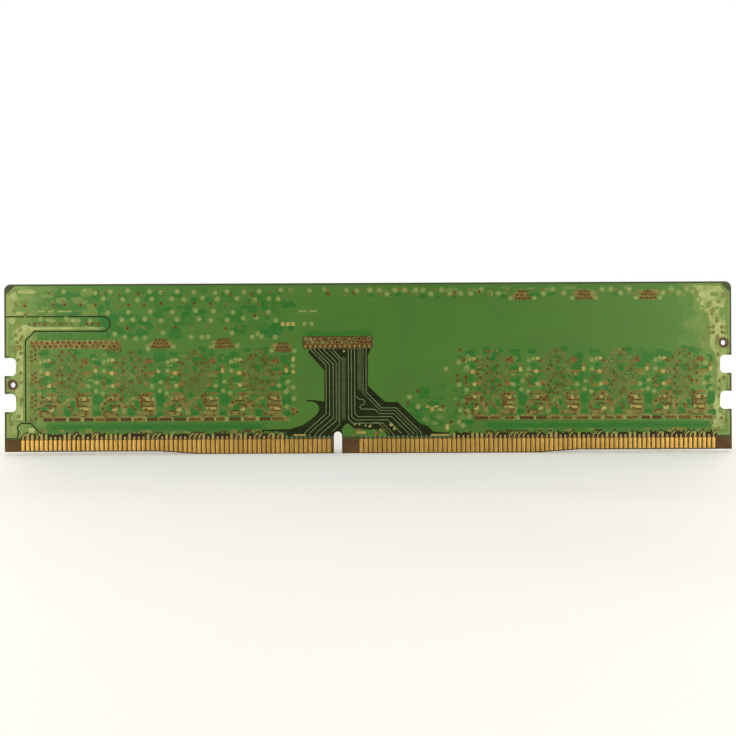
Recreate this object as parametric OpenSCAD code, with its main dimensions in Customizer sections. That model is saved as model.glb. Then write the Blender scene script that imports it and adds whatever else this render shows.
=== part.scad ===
// Memory module for a 288-contact card-edge socket: an eight-layer printed board with
// eight memory packages and their small parts on the front (+Y) and a bare back (-Y).
// X runs along the board, Z runs up from the contact edge, and Y runs through the board.
// The origin is on the contact edge, midway along the board and midway through it.

/* [Board outline] */
// Length of the board along X
board_l = 133.35; // [133.2:0.05:133.5]
// Height of the board along Z
board_h = 31.25; // [31.1:0.05:31.4]
// Radius of the two top corners
corner_r = 1.2; // [0.6:0.1:2]
// How much higher the contact edge is at the two ends
edge_rise = 0.5; // [0.3:0.1:0.7]
// Distance from the middle at which the contact edge starts to rise
rise_from = 30.7; // [29:0.1:32]
// Distance from the middle at which the contact edge has risen
rise_to = 38.7; // [36:0.1:42]

/* [Notches and holes] */
// Middle of the key notch along X
key_x = -5.575; // [-5.6:0.005:-5.55]
// Width of the key notch
key_w = 1.5; // [1.4:0.05:1.6]
// Height of the key notch up to its round top
key_h = 4; // [3.8:0.1:4.2]
// Height of each latch notch in the ends of the board
latch_h = 3.3; // [3:0.1:3.5]
// Depth of each latch notch
latch_depth = 2.1; // [1.8:0.1:2.3]
// Corner radius inside each latch notch
latch_r = 0.8; // [0.5:0.1:1]
// Height of the lower latch notches above the contact edge
latch_low_z = 9.5; // [9:0.1:10]
// Height of the upper latch notches above the contact edge
latch_high_z = 16.1; // [15.8:0.1:16.6]
// Radius of the two tooling holes
tooling_r = 0.5; // [0.4:0.05:0.6]

/* [Contacts] */
// Distance between the middles of neighbouring contacts
contact_pitch = 0.85; // [0.84:0.01:0.86]
// Width of a contact
contact_w = 0.6; // [0.5:0.01:0.65]
// Height of the top of the contacts
contact_top = 2.65; // [2.5:0.05:2.8]
// Gap between a contact and the edge of the board
contact_gap = 0.15; // [0.1:0.05:0.3]
// Number of contacts left of the key, seen from the back
left_contacts = 67; // [60:1:67]
// Number of contacts right of the key, seen from the back
right_contacts = 77; // [70:1:77]

/* [Layer thicknesses] */
// Thickness of the solder mask over the copper
mask_t = 0.02; // [0.01:0.005:0.03]
// Thickness of the outer copper and of the contacts
foil_t = 0.04; // [0.03:0.005:0.05]
// Thickness of the two outer prepreg sheets
outer_prepreg_t = 0.08; // [0.07:0.01:0.1]
// Thickness of the two outer cores
outer_core_t = 0.12; // [0.1:0.01:0.15]
// Thickness of the two inner prepreg sheets
inner_prepreg_t = 0.15; // [0.1:0.01:0.2]
// Thickness of the centre core
centre_core_t = 0.58; // [0.5:0.01:0.6]
// Thickness of the inner copper layers
plane_t = 0.03; // [0.02:0.005:0.035]

/* [Memory packages] */
// Width of a package along X
package_w = 7.5; // [7:0.1:8]
// Height of a package along Z
package_h = 11; // [10:0.1:12]
// Height of the middle of the packages
package_z = 14.4; // [14:0.1:15]
// Height of a reflowed solder ball
ball_h = 0.3; // [0.25:0.01:0.35]
// Largest radius of a solder ball
ball_r = 0.225; // [0.2:0.005:0.25]
// Distance between neighbouring balls
ball_pitch = 0.8; // [0.75:0.01:0.8]
// Thickness of the package's own small board
substrate_t = 0.2; // [0.15:0.01:0.25]
// Thickness of the moulded body
mould_t = 0.62; // [0.5:0.01:0.7]
// Size of the memory chip inside: width, height and thickness
die_size = [5.4, 8.6, 0.28]; // [0.2:0.01:9]

/* [Hidden] */
$fn = 32;

half_l = board_l / 2;
over = 1;

// Colours
core_colour = [0.72, 0.66, 0.42];
prepreg_colour = [0.68, 0.6, 0.36];
copper_colour = [0.72, 0.45, 0.2];
foil_colour = [0.78, 0.52, 0.24];
gold_colour = [0.85, 0.68, 0.35];
mask_colour = [0.24, 0.42, 0.16];
mould_colour = [0.1, 0.1, 0.11];
substrate_colour = [0.2, 0.33, 0.14];
ball_colour = [0.75, 0.76, 0.78];
silicon_colour = [0.35, 0.36, 0.4];
ceramic_colour = [0.6, 0.48, 0.34];
tin_colour = [0.78, 0.78, 0.78];
glaze_colour = [0.13, 0.13, 0.14];
solder_colour = [0.7, 0.71, 0.73];

// Where each layer ends, measured from the middle of the board outwards
centre_core_y = centre_core_t / 2;
inner_prepreg_y = centre_core_y + inner_prepreg_t;
outer_core_y = inner_prepreg_y + outer_core_t;
outer_prepreg_y = outer_core_y + outer_prepreg_t;
foil_y = outer_prepreg_y + foil_t;
mask_y = foil_y + mask_t;

// Copper is kept back from the board's edge, its corners are cut, and it stops above the contacts
copper_margin = 0.35;
copper_corner = 1.6;
copper_bottom = 3.1;
inner_bottom = 4.4;
neck_overlap = 0.1;
tooling_clear_r = 0.92;
tooling_holes = [[-65.2, 12.8], [65.25, 20]];
mask_bottom = 2.75;

// Gaps that part the supply copper from the ground copper, on the back and inside the board
gap_w = 0.22;
island_gap = [
    [-66.32, 25.3], [-48.6, 25.3], [-47.4, 24.2], [-47.4, 23.6], [-48.6, 22.6], [-61.1, 22.6],
    [-62.8, 20.9], [-62.8, 5.9], [-61.9, 5.9], [-60.3, 4.2], [-60.3, 3.1]
];
inner_gap = [[-66.32, 22.6], [-47.4, 22.6], [-47.4, 30.9]];

// Vias: plated holes through the whole board
via_r = 0.15;
antipad_r = 0.35;
left_end_vias = [
    [-64.6, 27.9], [-62.8, 27.8], [-57.8, 29.5], [-57.8, 28.05], [-55.8, 28], [-52.7, 28],
    [-62.6, 26.2], [-63.7, 22.9], [-64.6, 21.9], [-63.7, 21.1], [-65.2, 19.7], [-64.65, 18.9]
];
right_end_vias = [
    [60.5, 29.2], [62.7, 27.2], [64.3, 27.5], [63.1, 25.3], [64, 24.4],
    [62.6, 22.8], [65.6, 22.8], [62.6, 21.8], [65.6, 21.8], [61.8, 20.8]
];
strip_low = 19.7;
strip_pad_r = 0.26;
strip_vias = [for (row = [0:2], column = [0:11]) [strip_x(column), strip_low + row * 0.65]];
top_vias = [for (i = [0:21]) [-14 + i * 3.3, i % 2 == 0 ? 29.9 : 29.1]];
vias = concat(left_end_vias, right_end_vias, strip_vias, top_vias);

// The copper-free window above the key, with the via strip along its top
window_side = 14.95;
window = [
    [-11.9, 21.55], [-11.9, 19.25], [-10.9, 19.25], [-10.9, 18.45], [-8, 15.2], [-8.05, 9.2],
    [-9.2, 8.4], [-9, 7.5], [-10.3, 6], [-11.6, 5.3], [-13.4, 4.45], [-window_side, 4],
    [-window_side, 2.6], [window_side, 2.6], [window_side, 3.55], [11.9, 3.95], [10.95, 4.95],
    [9.55, 5.4], [5.4, 9.4], [3.15, 9.4], [0, 12.35], [0, 17.9], [0.6, 19.25], [1.15, 19.25],
    [1.15, 21.55]
];
strip_clear = [[-11.9, 19.25], [13.05, 2.3]];

// Address lines in the window: a line's column in the via strip, its X in the window, for those
// that go right the height of their run, and its contact, counted from the key
trace_w = 0.12;
line_bend = 0.6;
line_start = 18.9;
line_end = 3.45;
left_lines = [[1, -7.6, 5], [2, -7, 4], [3, -6.4, 2], [4, -5.8, 1]];
right_lines = [
    [5, -4.5, 4.8, 4], [6, -3.9, 5.4, 6], [7, -3.2, 6, 8],
    [8, -2.3, 6.6, 10], [9, -1.2, 7.2, 11], [10, -0.35, 8.25, 13]
];

// Lines inside the board
address_lines = 8;
address_line_pitch = 0.3;
address_line_z = 22;
address_line_half = 60;
data_lines = 9;
data_line_pitch = 0.8;
data_line_z = 4.8;

// Packages: four each side of the address window
package_x = concat([for (i = [0:3]) -55.1 + i * 11.67], [for (i = [0:3]) 22.9 + i * 11.6]);
ball_columns = [-4, -3, -2, 2, 3, 4];
ball_rows = 13;
ball_neck_r = 0.19;
ball_belly = 0.35;
substrate_y = foil_y + ball_h;
mould_y = substrate_y + substrate_t;
package_top_y = mould_y + mould_t;
dimple_r = 0.35;
dimple_depth = 0.03;
dimple_from_edge = 0.8;
package_clear = [7.2, 10.4];
package_opening = [7, 10.2];

// Small parts: X and Z of each, with capacitor sizes as length, width and height
solder_t = 0.03;
part_y = foil_y + solder_t;
small_cap = [1, 0.5, 0.5];
large_cap = [1.6, 0.8, 0.8];
terminal_share = 0.25;
pad_share = 0.4;
solder_share = 0.34;
pad_at = 0.42;
pad_over = 0.1;
body_over = 0.02;
small_cap_gap = [0.3, 1];
large_cap_gap = [0.5, 1.4];
small_cap_places = concat(
    [for (x = package_x, dx = [-2.6, 0, 2.6]) [x + dx, 21.4]],
    [for (i = [0, 1, 2, 4, 5, 6], z = [10.6, 12.8, 16, 18.2]) [package_x[i] + 5.83, z]],
    [for (x = [-14, -11.5, 3.5, 6, 8.5, 11]) [x, 9.4]]
);
large_cap_places = concat(
    [for (x = [-12, -8, -4, 0, 4, 8, 12]) [x, 25.6]],
    [for (x = [-61.2, 62.4]) [x, 25.4]]
);
array_size = [2, 1, 0.45];
array_places = concat(
    [for (x = package_x, dx = [-2.7, 0, 2.7]) [x + dx, 6.4]],
    [for (i = [0:4]) [-60.3 + i * 2.6, 23.9]]
);
array_end_w = 0.28;
array_end_l = 0.2;
array_end_pitch = 0.5;
array_gap = [2.2, 0.4];
array_opening = [1.9, 0.5];
id_chip_at = [64.1, 22.3];
id_chip_size = [2, 3, 0.72];
id_pad = [0.3, 0.25];
id_pad_pitch = 0.5;
id_pad_x = 0.85;
id_pad_t = 0.05;
id_heat_pad = [0.9, 1.6];
id_clear = [2.6, 3.4];
id_opening = [2.4, 3];

// A flat shape in X and Z, as a sheet from y_low to y_high
module sheet(y_low, y_high) {
    translate([0, y_high, 0]) rotate([90, 0, 0]) linear_extrude(y_high - y_low) children();
}

// A box from its middle in X and Z, its size in X and Z, and its two Y faces
module block(at, w, h, y_low, y_high) {
    translate([at[0] - w / 2, y_low, at[1] - h / 2]) cube([w, y_high - y_low, h]);
}

// A round bar through the board
module bar_y(at, r, y_low, y_high) {
    translate([at[0], y_high, at[1]]) rotate([90, 0, 0]) cylinder(r = r, h = y_high - y_low);
}

// ---------- outlines ----------

function strip_x(column) = -11.2 + column * 1.07;

function left_x(i) = key_x - 1.65 - i * contact_pitch;

function right_x(i) = key_x + 4.3 + i * contact_pitch;

function edge_z(x) = edge_rise * min(1, max(0, (abs(x) - rise_from) / (rise_to - rise_from)));

module key_2d(grow = 0) {
    r = key_w / 2;
    translate([key_x - r - grow, -over]) square([key_w + 2 * grow, key_h - r + over]);
    translate([key_x, key_h - r]) circle(r = r + grow);
}

module latch_2d(grow = 0) {
    h = latch_h + 2 * grow;
    depth = latch_depth + grow;
    r = latch_r + grow;
    translate([-depth, r - h / 2]) square([depth + over, h - 2 * r]);
    translate([r - depth, -h / 2]) square([depth - r + over, h]);
    for (side = [-1, 1]) translate([r - depth, side * (h / 2 - r)]) circle(r = r);
}

module end_notches_2d(grow = 0) {
    for (z = [latch_low_z, latch_high_z]) {
        translate([half_l, z]) latch_2d(grow);
        translate([-half_l, z]) mirror([1, 0]) latch_2d(grow);
    }
}

module board_2d() {
    difference() {
        union() {
            polygon([
                [-half_l, edge_rise], [-rise_to, edge_rise], [-rise_from, 0],
                [rise_from, 0], [rise_to, edge_rise], [half_l, edge_rise],
                [half_l, board_h - corner_r], [-half_l, board_h - corner_r]
            ]);
            translate([corner_r - half_l, board_h / 2]) square([board_l - 2 * corner_r, board_h / 2]);
            for (side = [-1, 1])
                translate([side * (half_l - corner_r), board_h - corner_r]) circle(r = corner_r);
        }
        key_2d();
        end_notches_2d();
        for (hole = tooling_holes) translate(hole) circle(r = tooling_r);
    }
}

// Everything that copper may cover above the contacts
module copper_2d(bottom) {
    side = half_l - copper_margin;
    top = board_h - copper_margin;
    difference() {
        polygon([
            [-side, bottom], [side, bottom], [side, top - copper_corner],
            [side - copper_corner, top], [copper_corner - side, top], [-side, top - copper_corner]
        ]);
        key_2d(copper_margin);
        end_notches_2d(copper_margin);
        for (hole = tooling_holes) translate(hole) circle(r = tooling_clear_r);
    }
}

module vias_2d(r) {
    for (via = vias) translate(via) circle(r = r, $fn = 16);
}

// A line of even width through the given points
module path_2d(points, w) {
    for (i = [1:len(points) - 1]) {
        run = points[i] - points[i - 1];
        translate(points[i - 1]) rotate(atan2(run[1], run[0]))
            translate([0, -w / 2]) square([norm(run), w]);
    }
    for (i = [1:len(points) - 2]) translate(points[i]) circle(r = w / 2, $fn = 16);
}

// ---------- laminate ----------

module laminate(y_low, y_high) {
    sheet(y_low, y_high) difference() {
        board_2d();
        vias_2d(via_r);
    }
}

module centre_core() { color(core_colour) laminate(-centre_core_y, centre_core_y); }

module back_core() { color(core_colour) laminate(-outer_core_y, -inner_prepreg_y); }

module front_core() { color(core_colour) laminate(inner_prepreg_y, outer_core_y); }

// Prepreg flows round the inner copper, so each sheet has that copper's pockets in it
module back_outer_prepreg() {
    color(prepreg_colour) difference() {
        laminate(-outer_prepreg_y, -outer_core_y);
        back_ground_plane();
    }
}

module back_inner_prepreg() {
    color(prepreg_colour) difference() {
        laminate(-inner_prepreg_y, -centre_core_y);
        back_signal_layer();
        back_power_plane();
    }
}

module front_inner_prepreg() {
    color(prepreg_colour) difference() {
        laminate(centre_core_y, inner_prepreg_y);
        front_power_plane();
        front_signal_layer();
    }
}

module front_outer_prepreg() {
    color(prepreg_colour) difference() {
        laminate(outer_core_y, outer_prepreg_y);
        front_ground_plane();
    }
}

// ---------- inner copper ----------

module strip_clear_2d() {
    translate(strip_clear[0]) square(strip_clear[1]);
}

module ground_plane_2d() {
    difference() {
        copper_2d(inner_bottom);
        strip_clear_2d();
        vias_2d(via_r);
    }
}

// The supply plane is split above the left-hand packages
module power_plane_2d() {
    difference() {
        copper_2d(inner_bottom);
        vias_2d(antipad_r);
        path_2d(inner_gap, gap_w);
    }
}

// The back signal layer carries the address lines along the board
module address_lines_2d() {
    difference() {
        for (i = [0:address_lines - 1])
            translate([-address_line_half, address_line_z + i * address_line_pitch])
                square([2 * address_line_half, trace_w]);
        vias_2d(antipad_r);
    }
}

// The front signal layer carries the data lines up from the contacts to each package
module data_lines_2d() {
    difference() {
        for (x = package_x, i = [0:data_lines - 1])
            translate([x + (i - (data_lines - 1) / 2) * data_line_pitch - trace_w / 2, data_line_z])
                square([trace_w, package_z - inner_bottom]);
        vias_2d(antipad_r);
    }
}

module back_ground_plane() {
    color(copper_colour) sheet(-outer_core_y - plane_t, -outer_core_y) ground_plane_2d();
}

module back_signal_layer() {
    color(copper_colour) sheet(-inner_prepreg_y, plane_t - inner_prepreg_y) address_lines_2d();
}

module back_power_plane() {
    color(copper_colour) sheet(-centre_core_y - plane_t, -centre_core_y) power_plane_2d();
}

module front_power_plane() {
    color(copper_colour) sheet(centre_core_y, centre_core_y + plane_t) power_plane_2d();
}

module front_signal_layer() {
    color(copper_colour) sheet(inner_prepreg_y - plane_t, inner_prepreg_y) data_lines_2d();
}

module front_ground_plane() {
    color(copper_colour) sheet(outer_core_y, outer_core_y + plane_t) ground_plane_2d();
}

// ---------- outer copper and contacts ----------

// Short necks join every third contact to the copper above it
module contact_necks_2d() {
    for (i = [0:3:left_contacts - 1]) neck_2d(left_x(i));
    for (i = [0:3:right_contacts - 1]) neck_2d(right_x(i));
}

module neck_2d(x) {
    if (abs(x) > window_side)
        translate([x - contact_w / 4, contact_top])
            square([contact_w / 2, copper_bottom - contact_top + neck_overlap]);
}

// Address lines down from the via strip: four fan left, the rest run right
module window_lines_2d() {
    for (line = left_lines) {
        from = strip_x(line[0]);
        to = left_x(line[2]);
        path_2d([
            [from, strip_low], [from, line_start], [line[1], line_start - (line[1] - from)],
            [line[1], line_end + line[1] - to], [to, line_end], [to, contact_top]
        ], trace_w);
    }
    for (line = right_lines) {
        from = strip_x(line[0]);
        to = right_x(line[3]);
        path_2d([
            [from, strip_low], [from, line_start], [line[1], line_start - (line[1] - from)],
            [line[1], line[2] + line_bend], [line[1] + line_bend, line[2]],
            [to - (line[2] - line_end), line[2]], [to, line_end], [to, contact_top]
        ], trace_w);
    }
}

module strip_pads_2d() {
    for (via = strip_vias) translate(via) circle(r = strip_pad_r, $fn = 16);
}

module back_copper_2d() {
    difference() {
        union() {
            difference() {
                copper_2d(copper_bottom);
                polygon(window);
                path_2d(island_gap, gap_w);
            }
            window_lines_2d();
            strip_pads_2d();
            contact_necks_2d();
        }
        vias_2d(via_r);
    }
}

module back_copper() { color(foil_colour) sheet(-foil_y, -outer_prepreg_y) back_copper_2d(); }

// The front copper is cleared round each part's own pads
module front_copper_2d() {
    difference() {
        union() {
            difference() {
                copper_2d(copper_bottom);
                for (x = package_x) translate([x, package_z]) square(package_clear, center = true);
                translate(id_chip_at) square(id_clear, center = true);
                for (at = small_cap_places) translate(at) square(small_cap_gap, center = true);
                for (at = large_cap_places) translate(at) square(large_cap_gap, center = true);
                for (at = array_places) translate(at) square(array_gap, center = true);
                strip_clear_2d();
            }
            strip_pads_2d();
        }
        vias_2d(via_r);
    }
}

module front_copper() {
    color(foil_colour) {
        sheet(outer_prepreg_y, foil_y) front_copper_2d();
        for (pad = id_pads()) block(pad[0], pad[1], pad[2], outer_prepreg_y, foil_y);
    }
}

module contact(x, y_low, y_high) {
    low = contact_gap + max(edge_z(x - contact_w / 2), edge_z(x + contact_w / 2));
    translate([x - contact_w / 2, y_low, low]) cube([contact_w, y_high - y_low, contact_top - low]);
}

module left_row(y_low, y_high) {
    color(gold_colour) for (i = [0:left_contacts - 1]) contact(left_x(i), y_low, y_high);
}

module right_row(y_low, y_high) {
    color(gold_colour) for (i = [0:right_contacts - 1]) contact(right_x(i), y_low, y_high);
}

module back_contacts_left() { left_row(-foil_y, -outer_prepreg_y); }

module back_contacts_right() { right_row(-foil_y, -outer_prepreg_y); }

module front_contacts_left() { left_row(outer_prepreg_y, foil_y); }

module front_contacts_right() { right_row(outer_prepreg_y, foil_y); }

module via_barrels() {
    color(copper_colour) for (via = vias) bar_y(via, via_r, -foil_y, foil_y);
}

// ---------- solder mask ----------

module mask_2d() {
    difference() {
        board_2d();
        translate([-half_l - over, -over]) square([board_l + 2 * over, mask_bottom + over]);
    }
}

module back_solder_mask() {
    color(mask_colour) difference() {
        sheet(-mask_y, -outer_prepreg_y) mask_2d();
        back_copper();
        via_barrels();
    }
}

module front_solder_mask() {
    color(mask_colour) difference() {
        sheet(outer_prepreg_y, mask_y) difference() {
            mask_2d();
            for (x = package_x) translate([x, package_z]) square(package_opening, center = true);
            translate(id_chip_at) square(id_opening, center = true);
            for (at = small_cap_places) pad_pair_2d(at, small_cap);
            for (at = large_cap_places) pad_pair_2d(at, large_cap);
            for (at = array_places, side = [-1, 1])
                translate([at[0], at[1] + side * array_size[1] / 2])
                    square(array_opening, center = true);
        }
        front_copper();
        via_barrels();
    }
}

module pad_pair_2d(at, size) {
    for (side = [-1, 1])
        translate([at[0] + side * size[0] * pad_at, at[1]])
            square([size[0] * pad_share, size[1] + pad_over], center = true);
}

// ---------- memory packages ----------

module package_body(i) {
    at = [package_x[i], package_z];
    color(mould_colour) difference() {
        block(at, package_w, package_h, mould_y, package_top_y);
        block(at, die_size[0], die_size[1], mould_y - over, mould_y + die_size[2]);
        bar_y(at + [package_w / 2 - dimple_from_edge, package_h / 2 - dimple_from_edge], dimple_r,
            package_top_y - dimple_depth, package_top_y + over);
    }
}

module package_substrate(i) {
    color(substrate_colour) block([package_x[i], package_z], package_w, package_h, substrate_y, mould_y);
}

// Each ball is joined to its round copper pad
module package_balls(i) {
    color(ball_colour)
        for (column = ball_columns, row = [0:ball_rows - 1])
            translate([
                package_x[i] + column * ball_pitch, outer_prepreg_y,
                package_z + (row - (ball_rows - 1) / 2) * ball_pitch
            ]) rotate([-90, 0, 0]) rotate_extrude($fn = 16) polygon([
                [0, 0], [ball_neck_r, 0], [ball_neck_r, foil_t], [ball_r, foil_t + ball_h * ball_belly],
                [ball_r, foil_t + ball_h * (1 - ball_belly)], [ball_neck_r, foil_t + ball_h], [0, foil_t + ball_h]
            ]);
}

module memory_chips() {
    color(silicon_colour) for (x = package_x)
        block([x, package_z], die_size[0], die_size[1], mould_y, mould_y + die_size[2]);
}

// ---------- small parts ----------

module capacitor_bodies(places, size) {
    inner = size[0] * (1 - 2 * terminal_share);
    color(ceramic_colour) for (at = places)
        block(at, inner, size[1] - 2 * body_over, part_y + body_over, part_y + size[2] - body_over);
}

module capacitor_terminals(places, size) {
    color(tin_colour) for (at = places, side = [-1, 1])
        block(at + [side * size[0] * (0.5 - terminal_share / 2), 0],
            size[0] * terminal_share, size[1], part_y, part_y + size[2]);
}

module decoupling_capacitor_bodies() { capacitor_bodies(small_cap_places, small_cap); }

module decoupling_capacitor_terminals() { capacitor_terminals(small_cap_places, small_cap); }

module bulk_capacitor_bodies() { capacitor_bodies(large_cap_places, large_cap); }

module bulk_capacitor_terminals() { capacitor_terminals(large_cap_places, large_cap); }

module resistor_array_bodies() {
    inner = array_size[1] - 2 * array_end_l;
    color(glaze_colour) for (at = array_places)
        block(at, array_size[0], inner, part_y + body_over, part_y + array_size[2]);
}

// The solder under each terminal is part of it
module resistor_array_terminals() {
    color(tin_colour)
        for (at = array_places, i = [0:3], side = [-1, 1])
            block(at + [(i - 1.5) * array_end_pitch, side * (array_size[1] - array_end_l) / 2],
                array_end_w, array_end_l, foil_y, part_y + array_size[2]);
}

// Pads of the identity chip: middle, width and height of each
function id_pads() = concat(
    [for (side = [-1, 1], i = [0:3])
        [id_chip_at + [side * id_pad_x, (i - 1.5) * id_pad_pitch], id_pad[0], id_pad[1]]],
    [[id_chip_at, id_heat_pad[0], id_heat_pad[1]]]
);

module id_chip_body() {
    color(mould_colour)
        block(id_chip_at, id_chip_size[0], id_chip_size[1], part_y + id_pad_t, part_y + id_chip_size[2]);
}

module id_chip_pads() {
    color(tin_colour) for (pad = id_pads()) block(pad[0], pad[1], pad[2], part_y, part_y + id_pad_t);
}

module capacitor_solder(at, size) {
    for (side = [-1, 1])
        block(at + [side * size[0] * pad_at, 0], size[0] * solder_share, size[1], foil_y, part_y);
}

// The solder between the front copper and the capacitors and identity chip
module front_solder() {
    color(solder_colour) {
        for (at = small_cap_places) capacitor_solder(at, small_cap);
        for (at = large_cap_places) capacitor_solder(at, large_cap);
        for (pad = id_pads()) block(pad[0], pad[1], pad[2], foil_y, part_y);
    }
}

centre_core();
back_core();
front_core();
back_outer_prepreg();
back_inner_prepreg();
front_inner_prepreg();
front_outer_prepreg();
back_ground_plane();
back_signal_layer();
back_power_plane();
front_power_plane();
front_signal_layer();
front_ground_plane();
back_copper();
front_copper();
back_solder_mask();
front_solder_mask();
via_barrels();
back_contacts_left();
back_contacts_right();
front_contacts_left();
front_contacts_right();
package_body(0);  // package_1_body
package_body(1);  // package_2_body
package_body(2);  // package_3_body
package_body(3);  // package_4_body
package_body(4);  // package_5_body
package_body(5);  // package_6_body
package_body(6);  // package_7_body
package_body(7);  // package_8_body
package_substrate(0);  // package_1_substrate
package_substrate(1);  // package_2_substrate
package_substrate(2);  // package_3_substrate
package_substrate(3);  // package_4_substrate
package_substrate(4);  // package_5_substrate
package_substrate(5);  // package_6_substrate
package_substrate(6);  // package_7_substrate
package_substrate(7);  // package_8_substrate
package_balls(0);  // package_1_balls
package_balls(1);  // package_2_balls
package_balls(2);  // package_3_balls
package_balls(3);  // package_4_balls
package_balls(4);  // package_5_balls
package_balls(5);  // package_6_balls
package_balls(6);  // package_7_balls
package_balls(7);  // package_8_balls
memory_chips();
id_chip_body();
id_chip_pads();
decoupling_capacitor_bodies();
decoupling_capacitor_terminals();
bulk_capacitor_bodies();
bulk_capacitor_terminals();
resistor_array_bodies();
resistor_array_terminals();
front_solder();
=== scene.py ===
import math
import random

import bmesh
import bpy
from mathutils import Matrix, Vector
from mathutils.geometry import delaunay_2d_cdt


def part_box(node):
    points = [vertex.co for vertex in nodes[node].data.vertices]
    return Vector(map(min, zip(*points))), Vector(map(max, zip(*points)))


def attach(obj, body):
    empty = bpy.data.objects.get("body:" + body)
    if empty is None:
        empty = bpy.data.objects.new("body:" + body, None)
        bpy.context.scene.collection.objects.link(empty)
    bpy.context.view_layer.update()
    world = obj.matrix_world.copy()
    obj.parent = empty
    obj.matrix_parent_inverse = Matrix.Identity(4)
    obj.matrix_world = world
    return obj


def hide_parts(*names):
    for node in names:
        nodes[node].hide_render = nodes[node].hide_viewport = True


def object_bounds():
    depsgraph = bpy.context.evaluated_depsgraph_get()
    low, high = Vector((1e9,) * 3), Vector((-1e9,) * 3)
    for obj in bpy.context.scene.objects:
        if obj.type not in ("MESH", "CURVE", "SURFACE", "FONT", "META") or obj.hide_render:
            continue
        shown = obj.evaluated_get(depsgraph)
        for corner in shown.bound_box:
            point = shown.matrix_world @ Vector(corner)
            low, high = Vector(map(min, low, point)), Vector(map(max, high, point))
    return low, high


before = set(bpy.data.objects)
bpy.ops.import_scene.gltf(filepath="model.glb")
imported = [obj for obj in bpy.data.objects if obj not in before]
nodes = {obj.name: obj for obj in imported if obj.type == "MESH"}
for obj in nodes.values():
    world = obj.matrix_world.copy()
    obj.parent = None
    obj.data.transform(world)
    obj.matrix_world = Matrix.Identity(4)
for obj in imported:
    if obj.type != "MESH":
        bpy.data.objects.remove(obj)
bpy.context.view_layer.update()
MM = 0.001
MICROMETRES = 1e6
TURN = math.tau
dice = random.Random(11)
BACK, FRONT = -1, 1
PACKAGES = ["package_%d" % (i + 1) for i in range(8)]


# ---------- sizes, in millimetres: read from the CAD, then given ---

def box_mm(node):
    low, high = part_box(node)
    return [c / MM for c in low], [c / MM for c in high]


def solids(node):
    """The box, in millimetres, of each separate solid in a CAD node, from left to right."""
    mesh = nodes[node].data
    keys = [tuple(round(c * MICROMETRES) for c in v.co) for v in mesh.vertices]
    above = {k: k for k in keys}

    def top(k):
        while above[k] != k:
            above[k] = above[above[k]]
            k = above[k]
        return k

    for edge in mesh.edges:
        above[top(keys[edge.vertices[0]])] = top(keys[edge.vertices[1]])
    groups = {}
    for k in above:
        groups.setdefault(top(k), []).append(k)
    found = []
    for group in groups.values():
        found.append((
            [min(k[a] for k in group) / 1000 for a in range(3)],
            [max(k[a] for k in group) / 1000 for a in range(3)],
        ))
    return sorted(found)


def middle(solid):
    return [(a + b) / 2 for a, b in zip(*solid)]


def plan(solid):
    """Seen from the back or front: a box's middle, its width and its height."""
    low, high = solid
    x, _, z = middle(solid)
    return (x, z), high[0] - low[0], high[2] - low[2]


_, board_high = box_mm("centre_core")
HALF, HEIGHT = board_high[0], board_high[2]
FACE = box_mm("front_outer_prepreg")[1][1]
FOIL = box_mm("front_contacts_left")[1][1]
MASK = box_mm("front_solder_mask")[1][1]
MASK_LOW = box_mm("back_solder_mask")[0][2]
PACKAGE_X = [middle(box_mm(p + "_body"))[0] for p in PACKAGES]
PACKAGE_Z = middle(box_mm("package_1_body"))[2]
VIAS = [(middle(s)[0], middle(s)[2]) for s in solids("via_barrels")]
CONTACTS = {name: solids(name) for name in (
    "back_contacts_left", "back_contacts_right", "front_contacts_left", "front_contacts_right")}
ARRAYS = solids("resistor_array_bodies")
ARRAY_ENDS = solids("resistor_array_terminals")
ID_PADS = solids("id_chip_pads")

# Where the copper starts above the contacts, and the pitch of the contacts
COPPER_LOW, PITCH = 3.1, 0.85
# The key slot: its middle, its radius and its height
KEY_X, KEY_R, KEY_H = -5.575, 0.75, 4.0
# The latch notches: their heights above the contact edge, their height, depth and corner radius
LATCH_Z, LATCH_H, LATCH_DEPTH, LATCH_R = (9.5, 16.1), 3.3, 2.1, 0.8
# The board's corners, the copper-free margin and the copper's cut corners
CORNER_R, MARGIN, CUT_CORNER = 1.2, 0.35, 1.6
# The tooling holes, their radius and the radius of the bare copper round them
HOLES, HOLE_R, HOLE_CLEAR = [(-65.2, 12.8), (65.25, 20)], 0.5, 0.92


# ---------- materials ----------

def rgb(r, g, b):
    """A colour from its three sRGB values, 0 to 255."""
    out = []
    for c in (r, g, b):
        c = c / 255
        out.append(c / 12.92 if c <= 0.04045 else ((c + 0.055) / 1.055) ** 2.4)
    return (*out, 1)


# Painted sheen at both ends of the board: how far out the paler tone starts and is complete, in metres, and
# how strongly and how finely its boundary wanders
ENDS_FROM, ENDS_FULL, ENDS_WANDER, ENDS_PATCH = 0.065, 0.076, 0.014, 520


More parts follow.
